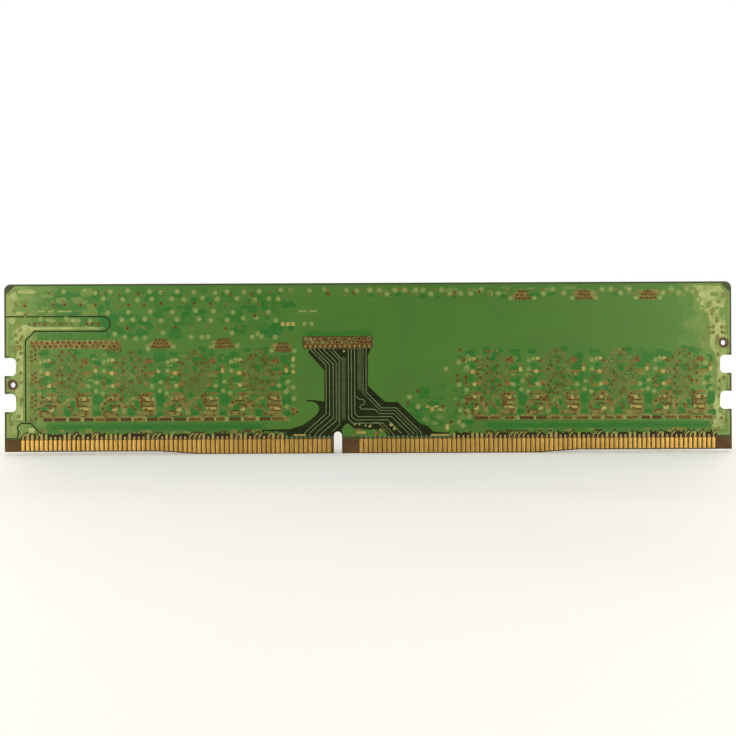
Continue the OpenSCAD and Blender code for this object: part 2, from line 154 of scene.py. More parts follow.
def material(name, one, two, rough=0.4, metal=0.0, specular=0.5, patch=300, grain=4000, bump=0.15,
             rough_swing=0.08, depth=0.00002, coat=0.0, weave=0.0, speck=None, stretch=(1, 1, 1), ends=None):
    """A surface whose colour wanders between one and two in patches, with a finer grain in its
    roughness and its bumps. Colours are sRGB, 0 to 255. patch and grain are counted per metre;
    weave shows the glass cloth; speck adds small dark or pale flecks; ends is a paler colour that
    comes through towards both ends of the board: painted sheen, standing for the lamps mirrored there."""
    one, two = rgb(*one), rgb(*two)
    made = bpy.data.materials.new(name)
    made.use_nodes = True
    tree = made.node_tree
    shader = tree.nodes["Principled BSDF"]
    link = tree.links.new

    def node(kind, **values):
        new = tree.nodes.new(kind)
        for key, value in values.items():
            new.inputs[key].default_value = value
        return new

    place = tree.nodes.new("ShaderNodeTexCoord")
    turn = node("ShaderNodeMapping", Scale=stretch)
    link(place.outputs["Object"], turn.inputs["Vector"])

    def noise(scale, detail=3.0):
        new = node("ShaderNodeTexNoise", Scale=scale, Detail=detail, Roughness=0.6)
        link(turn.outputs["Vector"], new.inputs["Vector"])
        return new.outputs["Fac"]

    def spread(value, low, high, to_low, to_high):
        new = node("ShaderNodeMapRange")
        for socket, number in zip(new.inputs[1:5], (low, high, to_low, to_high)):
            socket.default_value = number
        link(value, new.inputs[0])
        return new.outputs[0]

    def blend(factor, first, second):
        new = tree.nodes.new("ShaderNodeMix")
        new.data_type = "RGBA"
        link(factor, new.inputs[0])
        for socket, value in ((new.inputs[6], first), (new.inputs[7], second)):
            if isinstance(value, tuple):
                socket.default_value = value
            else:
                link(value, socket)
        return new.outputs[2]

    colour = blend(spread(noise(patch), 0.35, 0.65, 0, 1), one, two)
    # Painted sheen: the colour turns paler towards both ends of the board, past a wandering edge
    if ends:
        split = tree.nodes.new("ShaderNodeSeparateXYZ")
        link(place.outputs["Object"], split.inputs[0])
        across = tree.nodes.new("ShaderNodeMath")
        across.operation = "ABSOLUTE"
        link(split.outputs[0], across.inputs[0])
        uneven = tree.nodes.new("ShaderNodeMath")
        uneven.operation = "MULTIPLY_ADD"
        link(noise(ENDS_PATCH, 4.0), uneven.inputs[0])
        uneven.inputs[1].default_value = ENDS_WANDER
        link(across.outputs[0], uneven.inputs[2])
        colour = blend(spread(uneven.outputs[0], ENDS_FROM, ENDS_FULL, 0, 1), colour, rgb(*ends))
    fine = noise(grain, 4.0)
    height = fine
    if weave:
        waves = []
        for direction in ("X", "Z"):
            wave = node("ShaderNodeTexWave", Scale=560.0, Distortion=0.6)
            wave.bands_direction = direction
            link(turn.outputs["Vector"], wave.inputs["Vector"])
            waves.append(wave.outputs["Fac"])
        cross = tree.nodes.new("ShaderNodeMath")
        cross.operation = "MULTIPLY"
        link(waves[0], cross.inputs[0])
        link(waves[1], cross.inputs[1])
        darker = tuple(c * (1 - weave) for c in one[:3]) + (1,)
        colour = blend(cross.outputs[0], colour, darker)
        height = cross.outputs[0]
    if speck:
        flecks = spread(noise(grain * 0.6, 2.0), 0.62, 0.72, 0, 1)
        colour = blend(flecks, colour, rgb(*speck))
    link(colour, shader.inputs["Base Color"])
    link(spread(fine, 0.3, 0.7, max(rough - rough_swing, 0.03), rough + rough_swing),
         shader.inputs["Roughness"])
    if bump:
        raised = node("ShaderNodeBump", Strength=bump, Distance=depth)
        link(height, raised.inputs["Height"])
        link(raised.outputs["Normal"], shader.inputs["Normal"])
    shader.inputs["Metallic"].default_value = metal
    shader.inputs["Specular IOR Level"].default_value = specular
    shader.inputs["Coat Weight"].default_value = coat
    shader.inputs["Coat Roughness"].default_value = 0.15
    return made


MAT = {
    # The pour's ends colour is painted sheen towards both ends of the board
    "pour": material("mask_over_copper_with_painted_end_sheen", (61, 101, 33), (57, 97, 30), rough=0.32, patch=90, metal=0.2,
        specular=0.3, grain=2600, bump=0.03, rough_swing=0.03, ends=(116, 130, 70)),
    "margin": material("mask_at_margin", (58, 70, 40), (48, 60, 30), rough=0.32, patch=500,
        specular=0.15, weave=0.2, bump=0.1),
    "bare": material("mask_over_laminate", (20, 27, 5), (31, 38, 10), rough=0.3, patch=700,
        specular=0.1, weave=0.2, bump=0.1),
    "shade": material("mask_dip_round_via", (46, 58, 16), (54, 66, 20), rough=0.32, patch=900,
        specular=0.2, metal=0.2),
    "deep": material("mask_green", (44, 93, 26), (52, 97, 29), rough=0.32, patch=300, metal=0.2,
        specular=0.3, bump=0.03),
    "vivid": material("mask_deep_green", (24, 90, 26), (38, 94, 26), rough=0.32, patch=700, metal=0.15,
        specular=0.25, bump=0.05),
    "trace": material("mask_over_line", (104, 120, 84), (86, 102, 66), rough=0.32, patch=900,
        metal=0.2, specular=0.2),
    "dull": material("mask_over_wide_line", (60, 68, 36), (48, 56, 26), rough=0.32, patch=500,
        specular=0.2),
    "olive": material("mask_over_thin_copper", (116, 114, 60), (92, 86, 38), rough=0.34, patch=900,
        metal=0.3, specular=0.2),
    # Painted sheen, used only near the ends of the board
    "pale": material("painted_end_sheen_on_mask", (139, 148, 94), (102, 120, 62), rough=0.33, patch=450,
        metal=0.3, specular=0.25),
    # Round filled vias; near the ends of the board also an outer step of the painted sheen
    "halo": material("mask_over_filled_via_and_painted_end_sheen", (88, 112, 52), (80, 108, 46), rough=0.34, patch=900,
        metal=0.25, specular=0.25),
    "blob": material("filled_via_cap", (118, 128, 70), (106, 122, 62), rough=0.34, patch=900,
        metal=0.25, specular=0.25),
    "ring": material("via_ring_under_mask", (130, 134, 74), (114, 112, 56), rough=0.34, patch=900,
        metal=0.4, specular=0.15),
    "red": material("via_ring_thin_mask", (122, 84, 42), (108, 84, 40), rough=0.34, patch=900,
        metal=0.3, specular=0.15),
    "brown": material("line_gap_brown", (88, 54, 22), (68, 46, 16), rough=0.4, patch=1200,
        specular=0.15),
    "hole": material("via_hole", (24, 15, 2), (38, 27, 6), rough=0.5, patch=1500, specular=0.1),
    # Pale dots; in a via's hole this is a painted highlight that stands for a reflection
    "dot": material("painted_via_highlight_and_pale_dot", (150, 148, 96), (128, 126, 72), rough=0.4, patch=1500, specular=0.2),
    "tan": material("pad_under_mask", (148, 140, 80), (138, 122, 64), rough=0.34, patch=900,
        metal=0.25, specular=0.2),
    "soil": material("laminate_between_contacts", (76, 60, 22), (58, 42, 10), rough=0.5, patch=1500,
        weave=0.3, bump=0.3, specular=0.2),
    "pit": material("laminate_in_gap", (34, 25, 5), (46, 36, 9), rough=0.5, patch=1500, weave=0.3,
        bump=0.3, specular=0.15),
    "mark": material("printed_mark", (140, 134, 62), (124, 122, 54), rough=0.55, patch=900,
        specular=0.2),
    "white": material("printed_mark_white", (206, 208, 196), (190, 194, 178), rough=0.6, patch=900),
    "barrel": material("plated_hole", (60, 32, 12), (40, 20, 6), rough=0.35, metal=0.4, patch=900),
    "gold": material("gold_plating", (180, 147, 80), (164, 132, 68), rough=0.34, metal=1.0, patch=500,
        grain=5000, bump=0.12, speck=(150, 112, 50), stretch=(1, 1, 0.35)),
    "laminate": material("glass_laminate", (134, 110, 52), (112, 88, 38), rough=0.55, patch=500,
        weave=0.3, bump=0.3, speck=(84, 62, 24)),
    "prepreg": material("prepreg", (82, 58, 20), (58, 40, 12), rough=0.5, patch=500, weave=0.3,
        bump=0.3, speck=(46, 30, 8), specular=0.2),
    "copper": material("copper_foil", (214, 136, 84), (190, 112, 66), rough=0.35, metal=1.0, patch=900),
    "mould": material("mould_compound", (27, 27, 28), (21, 21, 22), rough=0.5, patch=400, grain=14000,
        bump=0.35, speck=(42, 42, 43), specular=0.35),
    "die": material("silicon", (84, 88, 98), (74, 78, 90), rough=0.2, patch=400),
    "substrate": material("package_board", (48, 72, 30), (66, 76, 38), rough=0.45, patch=900,
        speck=(120, 96, 50)),
    "solder": material("solder", (196, 198, 202), (172, 174, 180), rough=0.28, metal=1.0, patch=2500,
        grain=9000, bump=0.2),
    "tin": material("tin_plating", (206, 206, 206), (184, 184, 186), rough=0.34, metal=1.0, patch=2500,
        grain=9000, bump=0.2),
    "ceramic": material("capacitor_ceramic", (140, 102, 64), (118, 84, 50), rough=0.42, patch=1800,
        grain=9000, speck=(96, 64, 38)),
    "glaze": material("resistor_glaze", (26, 26, 30), (38, 38, 42), rough=0.22, patch=1800, coat=0.3),
    "alumina": material("resistor_ceramic", (206, 204, 196), (188, 186, 178), rough=0.5, patch=1800),
    "floor": material("floor", (214, 213, 209), (208, 207, 203), rough=0.7, patch=6, grain=900,
        bump=0.05, specular=0.2),
}


# ---------- meshes ----------

# Edges sharper than this angle stay sharp; steps in a rounded rim; sides of a dimple
SHARP_FROM, RIM_BENDS, DIMPLE_SIDES = 40, 3, 24


class Shape:
    """Points and faces of one piece, in millimetres, each face with its material."""

    def __init__(self):
        self.points, self.faces, self.looks = [], [], []

    def point(self, x, y, z):
        self.points.append((x * MM, y * MM, z * MM))
        return len(self.points) - 1

    def face(self, corners, look):
        self.faces.append(corners)
        self.looks.append(look)

    def finish(self, name, slot, replaced=(), smooth=False):
        mesh = bpy.data.meshes.new(name)
        mesh.from_pydata(self.points, [], self.faces)
        used = sorted(set(self.looks))
        for look in used:
            mesh.materials.append(MAT[look])
        for face, look in zip(mesh.polygons, self.looks):
            face.material_index = used.index(look)
            face.use_smooth = smooth
        mesh.validate()
        made = bpy.data.objects.new(name, mesh)
        bpy.context.scene.collection.objects.link(made)
        if smooth:
            mesh.set_sharp_from_angle(angle=math.radians(SHARP_FROM))
        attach(made, "root")
        if replaced:
            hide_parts(*replaced)




def ring_points(w, h, r, steps):
    """A rectangle with rounded corners round the origin, anticlockwise."""
    out = []
    for cx, cz, start in ((1, 1, 0), (-1, 1, 90), (-1, -1, 180), (1, -1, 270)):
        for i in range(steps + 1):
            a = math.radians(start + 90 * i / steps)
            out.append((cx * (w / 2 - r) + r * math.cos(a), cz * (h / 2 - r) + r * math.sin(a)))
    return out


def circle(x, z, r, sides, first=0.0):
    """Points round a circle, anticlockwise; first turns it by that part of a side."""
    return [(x + r * math.cos(TURN * (k + first) / sides), z + r * math.sin(TURN * (k + first) / sides))
            for k in range(sides)]


def pillow(shape, side, at, w, h, low, high, r, edge, look, crown=0.0, steps=3, under=False, sunk=None):
    """A plate with rounded corners and a rounded rim, from height low to height high off the board's
    middle plane. crown lifts its middle; sunk is a round dimple: X, Z, radius and depth."""
    levels = [(low, 0.0)]
    for i in range(RIM_BENDS + 1):
        bend = math.radians(90 * i / RIM_BENDS)
        levels.append((high - edge * (1 - math.sin(bend)), edge * (1 - math.cos(bend))))
    if crown:
        levels += [(high + crown * 0.7, edge + min(w, h) * 0.12), (high + crown, edge + min(w, h) * 0.25)]
    rims = []
    for level, inset in levels:
        corner = min(max(r - inset, 0.02), (min(w, h) - 2 * inset) / 2 - 0.001)
        rims.append([shape.point(at[0] + x, side * level, at[1] + z)
                     for x, z in ring_points(w - 2 * inset, h - 2 * inset, corner, steps)])

    def add(corners):
        shape.face(corners if side == BACK else corners[::-1], look)

    def band(lower, upper):
        for i in range(len(lower)):
            j = (i + 1) % len(lower)
            add([lower[i], lower[j], upper[j], upper[i]])

    for lower, upper in zip(rims, rims[1:]):
        band(lower, upper)
    if under:
        add(rims[0][::-1])
    top, roof = rims[-1], levels[-1][0]
    if sunk is None:
        add(top)
        return
    sx, sz, sr, depth = sunk
    flat = [Vector((shape.points[i][0] / MM, shape.points[i][2] / MM)) for i in top]
    around = [Vector(p) for p in circle(sx, sz, sr, DIMPLE_SIDES)]
    count = len(flat)
    verts, _, faces, _, _, origin = delaunay_2d_cdt(
        flat + around, [], [list(range(count)), list(range(count, count + DIMPLE_SIDES))], 1, 1e-5, True)
    lid = [shape.point(v[0], side * roof, v[1]) for v in verts]
    for face, inside in zip(faces, origin):
        if 1 not in inside:
            add([lid[i] for i in face])
    rings = []
    for inset, drop in ((0.0, 0.0), (0.04, depth * 0.7), (0.1, depth), (sr * 0.6, depth * 1.05)):
        rings.append([shape.point(x, side * (roof - drop), z)
                      for x, z in circle(sx, sz, sr - inset, DIMPLE_SIDES)])
    for outer, inner in zip(rings, rings[1:]):
        band(outer, inner)
    add(rings[-1])


def plate(shape, solid, r, edge, look, grow=(0, 0), lower=0.0, **more):
    """A pillow on the front in the place of a CAD solid, wider and taller by grow, lower by lower."""
    at, w, h = plan(solid)
    pillow(shape, FRONT, at, w + grow[0], h + grow[1], solid[0][1], solid[1][1] - lower, r, edge, look,
           **more)


# ---------- flat patterns ----------

def arc(x, z, r, start, end, steps):
    return [(x + r * math.cos(math.radians(start + (end - start) * i / steps)),
             z + r * math.sin(math.radians(start + (end - start) * i / steps))) for i in range(steps + 1)]


def outline(grow, low, chamfer):
    """The board's outline above height low, pulled in by grow, anticlockwise as seen from the back."""
    side, top = HALF - grow, HEIGHT - grow
    key_r = KEY_R + grow
    loop = [(-side, low), (KEY_X - key_r, low)]
    loop += arc(KEY_X, KEY_H - KEY_R, key_r, 180, 0, 12)
    loop += [(KEY_X + key_r, low), (side, low)]
    notches = []
    h, r, x = LATCH_H / 2 + grow, LATCH_R + grow, HALF - LATCH_DEPTH - grow
    for z in LATCH_Z:
        notches += [(side, z - h)] + arc(x + r, z - h + r, r, 270, 180, 6)
        notches += arc(x + r, z + h - r, r, 180, 90, 6) + [(side, z + h)]
    if chamfer:
        corner = [(side, top - CUT_CORNER), (side - CUT_CORNER, top)]
    else:
        corner = arc(side - CORNER_R, top - CORNER_R, CORNER_R, 0, 90, 8)
    loop += notches + corner
    loop += [(-x, z) for x, z in (notches + corner)[::-1]]
    return loop


def thick(points, w):
    """A line of even width through the points, as one anticlockwise loop."""
    left, right = [], []
    count = len(points)
    for i, (x, z) in enumerate(points):
        ahead = Vector(points[min(i + 1, count - 1)]) - Vector(points[i])
        behind = Vector(points[i]) - Vector(points[max(i - 1, 0)])
        ahead = (ahead if ahead.length else behind).normalized()
        behind = (behind if behind.length else ahead).normalized()
        mean = (ahead + behind).normalized()
        reach = w / 2 / max(mean.dot(ahead), 0.5)
        left.append((x - mean[1] * reach, z + mean[0] * reach))
        right.append((x + mean[1] * reach, z - mean[0] * reach))
    return right + left[::-1]


# Parts of a via's radius that its hole and its painted highlight take, and what the dip round it adds; the
# highlight is a pale dot that stands for a reflection
HOLE_PART, HIGHLIGHT_PART, DIP = 0.6, 0.24, 0.07
# Parts of a filled via's radius that its halo and its cap take
HALO_PART, CAP_PART = 1.5, 0.95


class Pattern:
    """Flat shapes painted one over another on one side of the board; the last one painted shows, and
    nothing shows outside the first, the outline."""

    def __init__(self):
        self.loops, self.kinds, self.late = [], [], []
        self.area("margin", outline(0, MASK_LOW, False))
        self.area("pour", outline(MARGIN, COPPER_LOW, True))

    def area(self, kind, loop):
        self.loops.append([tuple(p) for p in loop])
        self.kinds.append(kind)

    def disc(self, kind, x, z, r, sides=10):
        self.area(kind, circle(x, z, r, sides, 0.5))

    def bar(self, kind, x, z, w, h, cut=0.0):
        """A rectangle with cut corners."""
        c = cut or min(w, h) * 0.2
        left, right, low, high = x - w / 2, x + w / 2, z - h / 2, z + h / 2
        self.area(kind, [(left + c, low), (right - c, low), (right, low + c), (right, high - c),
                         (right - c, high), (left + c, high), (left, high - c), (left, low + c)])

    def bars(self, kind, places):
        for x, z, w, h in places:
            self.bar(kind, x, z, w, h)

    def path(self, kind, points, w):
        self.area(kind, thick(points, w))

    def via(self, x, z, kind="ring", r=0.27, dot=True):
        """A via: its ring, hole and, with dot, a painted highlight (a pale dot that stands for a reflection)
        are painted after everything else.
        """
        self.disc("shade", x, z, r + DIP)
        self.late.append((kind, x, z, r, dot))

    def blob(self, x, z, r=0.36):
        """A filled via under the mask."""
        self.disc("halo", x, z, r * HALO_PART, 14)
        self.disc("blob", x, z, r * CAP_PART, 12)

    def holes(self):
        for x, z in HOLES:
            self.disc("barrel", x, z, HOLE_CLEAR, 24)
            self.disc("open", x, z, HOLE_R, 24)

    def vias(self, kind, r, places):
        for x, z in places:
            self.via(x, z, kind, r, kind == "ring")

    def blobs(self, r, places):
        for x, z in places:
            self.blob(x, z, r)

    def build(self, side, levels, pieces):
        """levels: each kind's height off the middle plane; a kind without one is an opening.
        pieces: for each piece, its name, its slot, the nodes it replaces and its kinds."""
        for kind, x, z, r, dot in self.late:
            self.disc(kind, x, z, r)
            self.disc("hole", x, z, r * HOLE_PART, 8)
            # The dot is a painted highlight, a pale dot that stands for a reflection in the via
            if dot:
                self.disc("dot", x, z, r * HIGHLIGHT_PART, 6)
        points, loops = [], []
        for loop in self.loops:
            loops.append(list(range(len(points), len(points) + len(loop))))
            points += [Vector(p) for p in loop]
        verts, _, faces, _, _, origin = delaunay_2d_cdt(points, [], loops, 1, 1e-5, True)
        shapes = {kind: piece[0] for piece in pieces for kind in piece[3]}
        made = {piece[0]: Shape() for piece in pieces}
        known = {piece[0]: {} for piece in pieces}

        def corner(piece, i, level):
            key = (i, round(level, 4))
            if key not in known[piece]:
                known[piece][key] = made[piece].point(verts[i][0], side * level, verts[i][1])
            return known[piece][key]

        def add(piece, corners, look):
            made[piece].face(corners if side == BACK else corners[::-1], look)

        edges = {}
        for face, inside in zip(faces, origin):
            kind = self.kinds[max(inside)] if 0 in inside else None
            level = levels.get(kind)
            if level is not None:
                add(shapes[kind], [corner(shapes[kind], i, level) for i in face], kind)
            for a, b in zip(face, face[1:] + face[:1]):
                edges.setdefault((min(a, b), max(a, b)), []).append((a, b, kind, level))
        # A wall wherever the level changes, down to the board's face at an opening or at the rim
        for sides in edges.values():
            first = sides[0]
            second = sides[1] if len(sides) > 1 else (0, 0, None, None)
            if first[3] is None and second[3] is None:
                continue
            high, low = (first, second) if (first[3] or 0) >= (second[3] or 0) else (second, first)
            foot = low[3] if low[3] is not None else FACE
            if high[3] - foot < 1e-4:
                continue
            a, b, kind, level = high
            piece = shapes[kind]
            add(piece, [corner(piece, a, level), corner(piece, a, foot), corner(piece, b, foot),
                        corner(piece, b, level)], kind)
        for name, slot, replaced, _ in pieces:
            made[name].finish(name, slot, replaced)


BARE_LEVEL = FACE + 0.02
MASK_LEVELS = {
    "pour": MASK, "margin": BARE_LEVEL, "bare": BARE_LEVEL, "shade": MASK - 0.01, "deep": MASK - 0.002,
    "vivid": MASK - 0.006, "trace": MASK, "dull": MASK - 0.01, "olive": MASK - 0.002,
    "pale": MASK + 0.001, "halo": MASK + 0.003, "blob": MASK + 0.008, "soil": FACE + 0.004,
    "pit": FACE + 0.002, "brown": FACE + 0.012, "mark": MASK + 0.006, "white": MASK + 0.006,
}
VIA_LEVELS = {
    "ring": MASK + 0.004, "red": MASK + 0.005, "hole": BARE_LEVEL, "dot": BARE_LEVEL + 0.006,
    "barrel": BARE_LEVEL,
}
PAD_LEVELS = {"tan": MASK + 0.003}
LEVELS = {**MASK_LEVELS, **VIA_LEVELS, **PAD_LEVELS}


# ---------- the bare back ----------

back = Pattern()


def near(value, swing):
    return value + dice.uniform(-swing, swing)


def patch(kind, x, z, w, h):
    """An uneven patch with cut corners."""
    loop = []
    for cx, cz in ((1, -0.5), (1, 0.4), (0.5, 1), (-0.6, 1), (-1, 0.5), (-1, -0.5), (-0.5, -1), (0.6, -1)):
        grow = dice.uniform(0.75, 1.1)
        loop.append((x + cx * w / 2 * grow, z + cz * h / 2 * grow))
    back.area(kind, loop)


def scatter(count, kinds, *limits):
    """Patches of one kind, or of kinds drawn at random; the limits are those of X, Z, width, height."""
    for _ in range(count):
        kind = kinds if isinstance(kinds, str) else dice.choice(kinds)
        patch(kind, *[dice.uniform(low, high) for low, high in limits])


# Greener and paler patches over the left half
scatter(130, ("deep", "vivid", "vivid"), (-60, -13), (21.8, 30), (1, 3.4), (0.7, 1.9))
scatter(46, "halo", (-65, -50), (21, 30), (1, 2.6), (0.7, 1.6))

# Painted sheen along the left end and below the gap at the top left: a paler area with a paler one inside it,
# and paler patches
back.area("halo", [
    (-65.9, 6), (-63.2, 6), (-63.1, 21), (-61.2, 22.8), (-48.6, 22.8), (-48.2, 23.4), (-61, 23.7),
    (-62.2, 24.6), (-64, 24.9), (-65.9, 24.4)])
back.area("pale", [
    (-65.6, 6.3), (-63.3, 6.3), (-63.2, 21.1), (-61.3, 22.95), (-49, 22.95), (-50, 23.35),
    (-61.4, 23.35), (-63, 23.9), (-65.3, 22.6), (-64.3, 19), (-65.4, 14.2), (-64.4, 10)])
for x, z, w, h in (
        (-65, 28.6, 1.6, 2.4), (-62.4, 29.9, 3.6, 1), (-63.6, 25.9, 2.6, 0.7), (-58, 24.6, 1.6, 0.5),
        (-53.8, 24.6, 1.6, 0.5), (-64.9, 4.6, 1, 1.4), (-61.7, 4.5, 1.2, 1.1)):
    patch("pale", x, z, w, h)

# Painted sheen along the right end: a paler area with a paler one inside it and less pale patches in that;
# paler and greener patches along the top of the right half; and patches that break up the painted sheen in
# both end strips
back.area("halo", [
    (57.6, 30.8), (59.4, 29), (60, 26), (61.6, 23.2), (62, 19.4), (62.6, 16.8), (64.2, 15.2),
    (63, 10.6), (61.9, 5), (62.4, 3.6), (65.9, 3.6), (66.2, 29.4), (64.9, 30.8)])
back.area("pale", [
    (59.4, 30.6), (60.6, 29.4), (61, 26.6), (62.4, 25.4), (62.9, 22), (62.6, 19.4), (63.6, 18.2),
    (64.2, 15.6), (63.7, 10.6), (62.6, 6), (63.2, 4), (65.4, 4.2), (65.3, 8), (65.8, 14), (65.9, 22),
    (65.2, 26.2), (65.8, 28.6), (64.6, 30.4)])
for x, z, w, h in (
        (63.6, 28.9, 1.6, 0.8), (64.9, 25.4, 1, 2), (63.9, 20, 0.8, 1.2), (64.6, 7.6, 1, 1),
        (62.9, 5.6, 1, 1)):
    patch("halo", x, z, w, h)
scatter(24, "halo", (0, 60), (29.1, 30.3), (1, 2.4), (0.5, 0.9))
scatter(16, "vivid", (0, 58), (28.6, 29.2), (1, 2.2), (0.5, 0.9))
scatter(14, ("olive", "pale", "pour"), (-65.4, -63.4), (6, 25), (0.6, 1.2), (0.5, 1.4))
scatter(20, ("olive", "pale", "pour", "halo"), (61.5, 65.5), (4, 30), (0.6, 1.4), (0.5, 1.4))

# Gaps that part the supply copper from the ground copper
SPLIT = 0.24
back.path("bare", [(-66.3, 25.3)] + arc(-48.6, 23.95, 1.35, 90, -90, 10)
          + [(-61.1, 22.6), (-62.8, 20.9), (-62.8, 5.9)], SPLIT)
back.path("bare", [(-64.35, 3.1), (-64.1, 4.15), (-64.4, 5), (-63.7, 5.75), (-61.9, 5.75),
                   (-60.3, 4.15), (-60.1, 3.1)], SPLIT)

# Greener bands without vias: inside the gap, below the fields and above the window
back.path("deep", [(-60.6, 21.55), (-60, 21.7), (-48, 21.7)], 1.3)
for left, right in ((-59, -18.5), (21, 63)):
    back.bar("deep", (left + right) / 2, 4.95, right - left, 1.5, 0.5)
    back.bar("vivid", (left + right) / 2, 5, right - left - 1.5, 0.8, 0.3)
back.bar("deep", -5.4, 22, 13.2, 1.3, 0.5)
back.bar("vivid", -5.4, 21.95, 11.6, 0.5, 0.2)

# The staggered vias behind a package: rows and columns, their pitches, the top row, half the
# field's width and height, and the part of a place's size that its two empty middles keep clear
ROWS, COLUMNS, ROW_PITCH, COLUMN_PITCH, ROW_TOP = 12, 9, 0.7, 0.88, 18.75
FIELD_HALF_W, FIELD_HALF_H, CLEAR = 3, 4.9, 0.45


def wide(z):
    """Half the width of the via field behind a package at height z."""
    return FIELD_HALF_W * math.sqrt(max(0.1, 1 - ((z - PACKAGE_Z) / FIELD_HALF_H) ** 2))


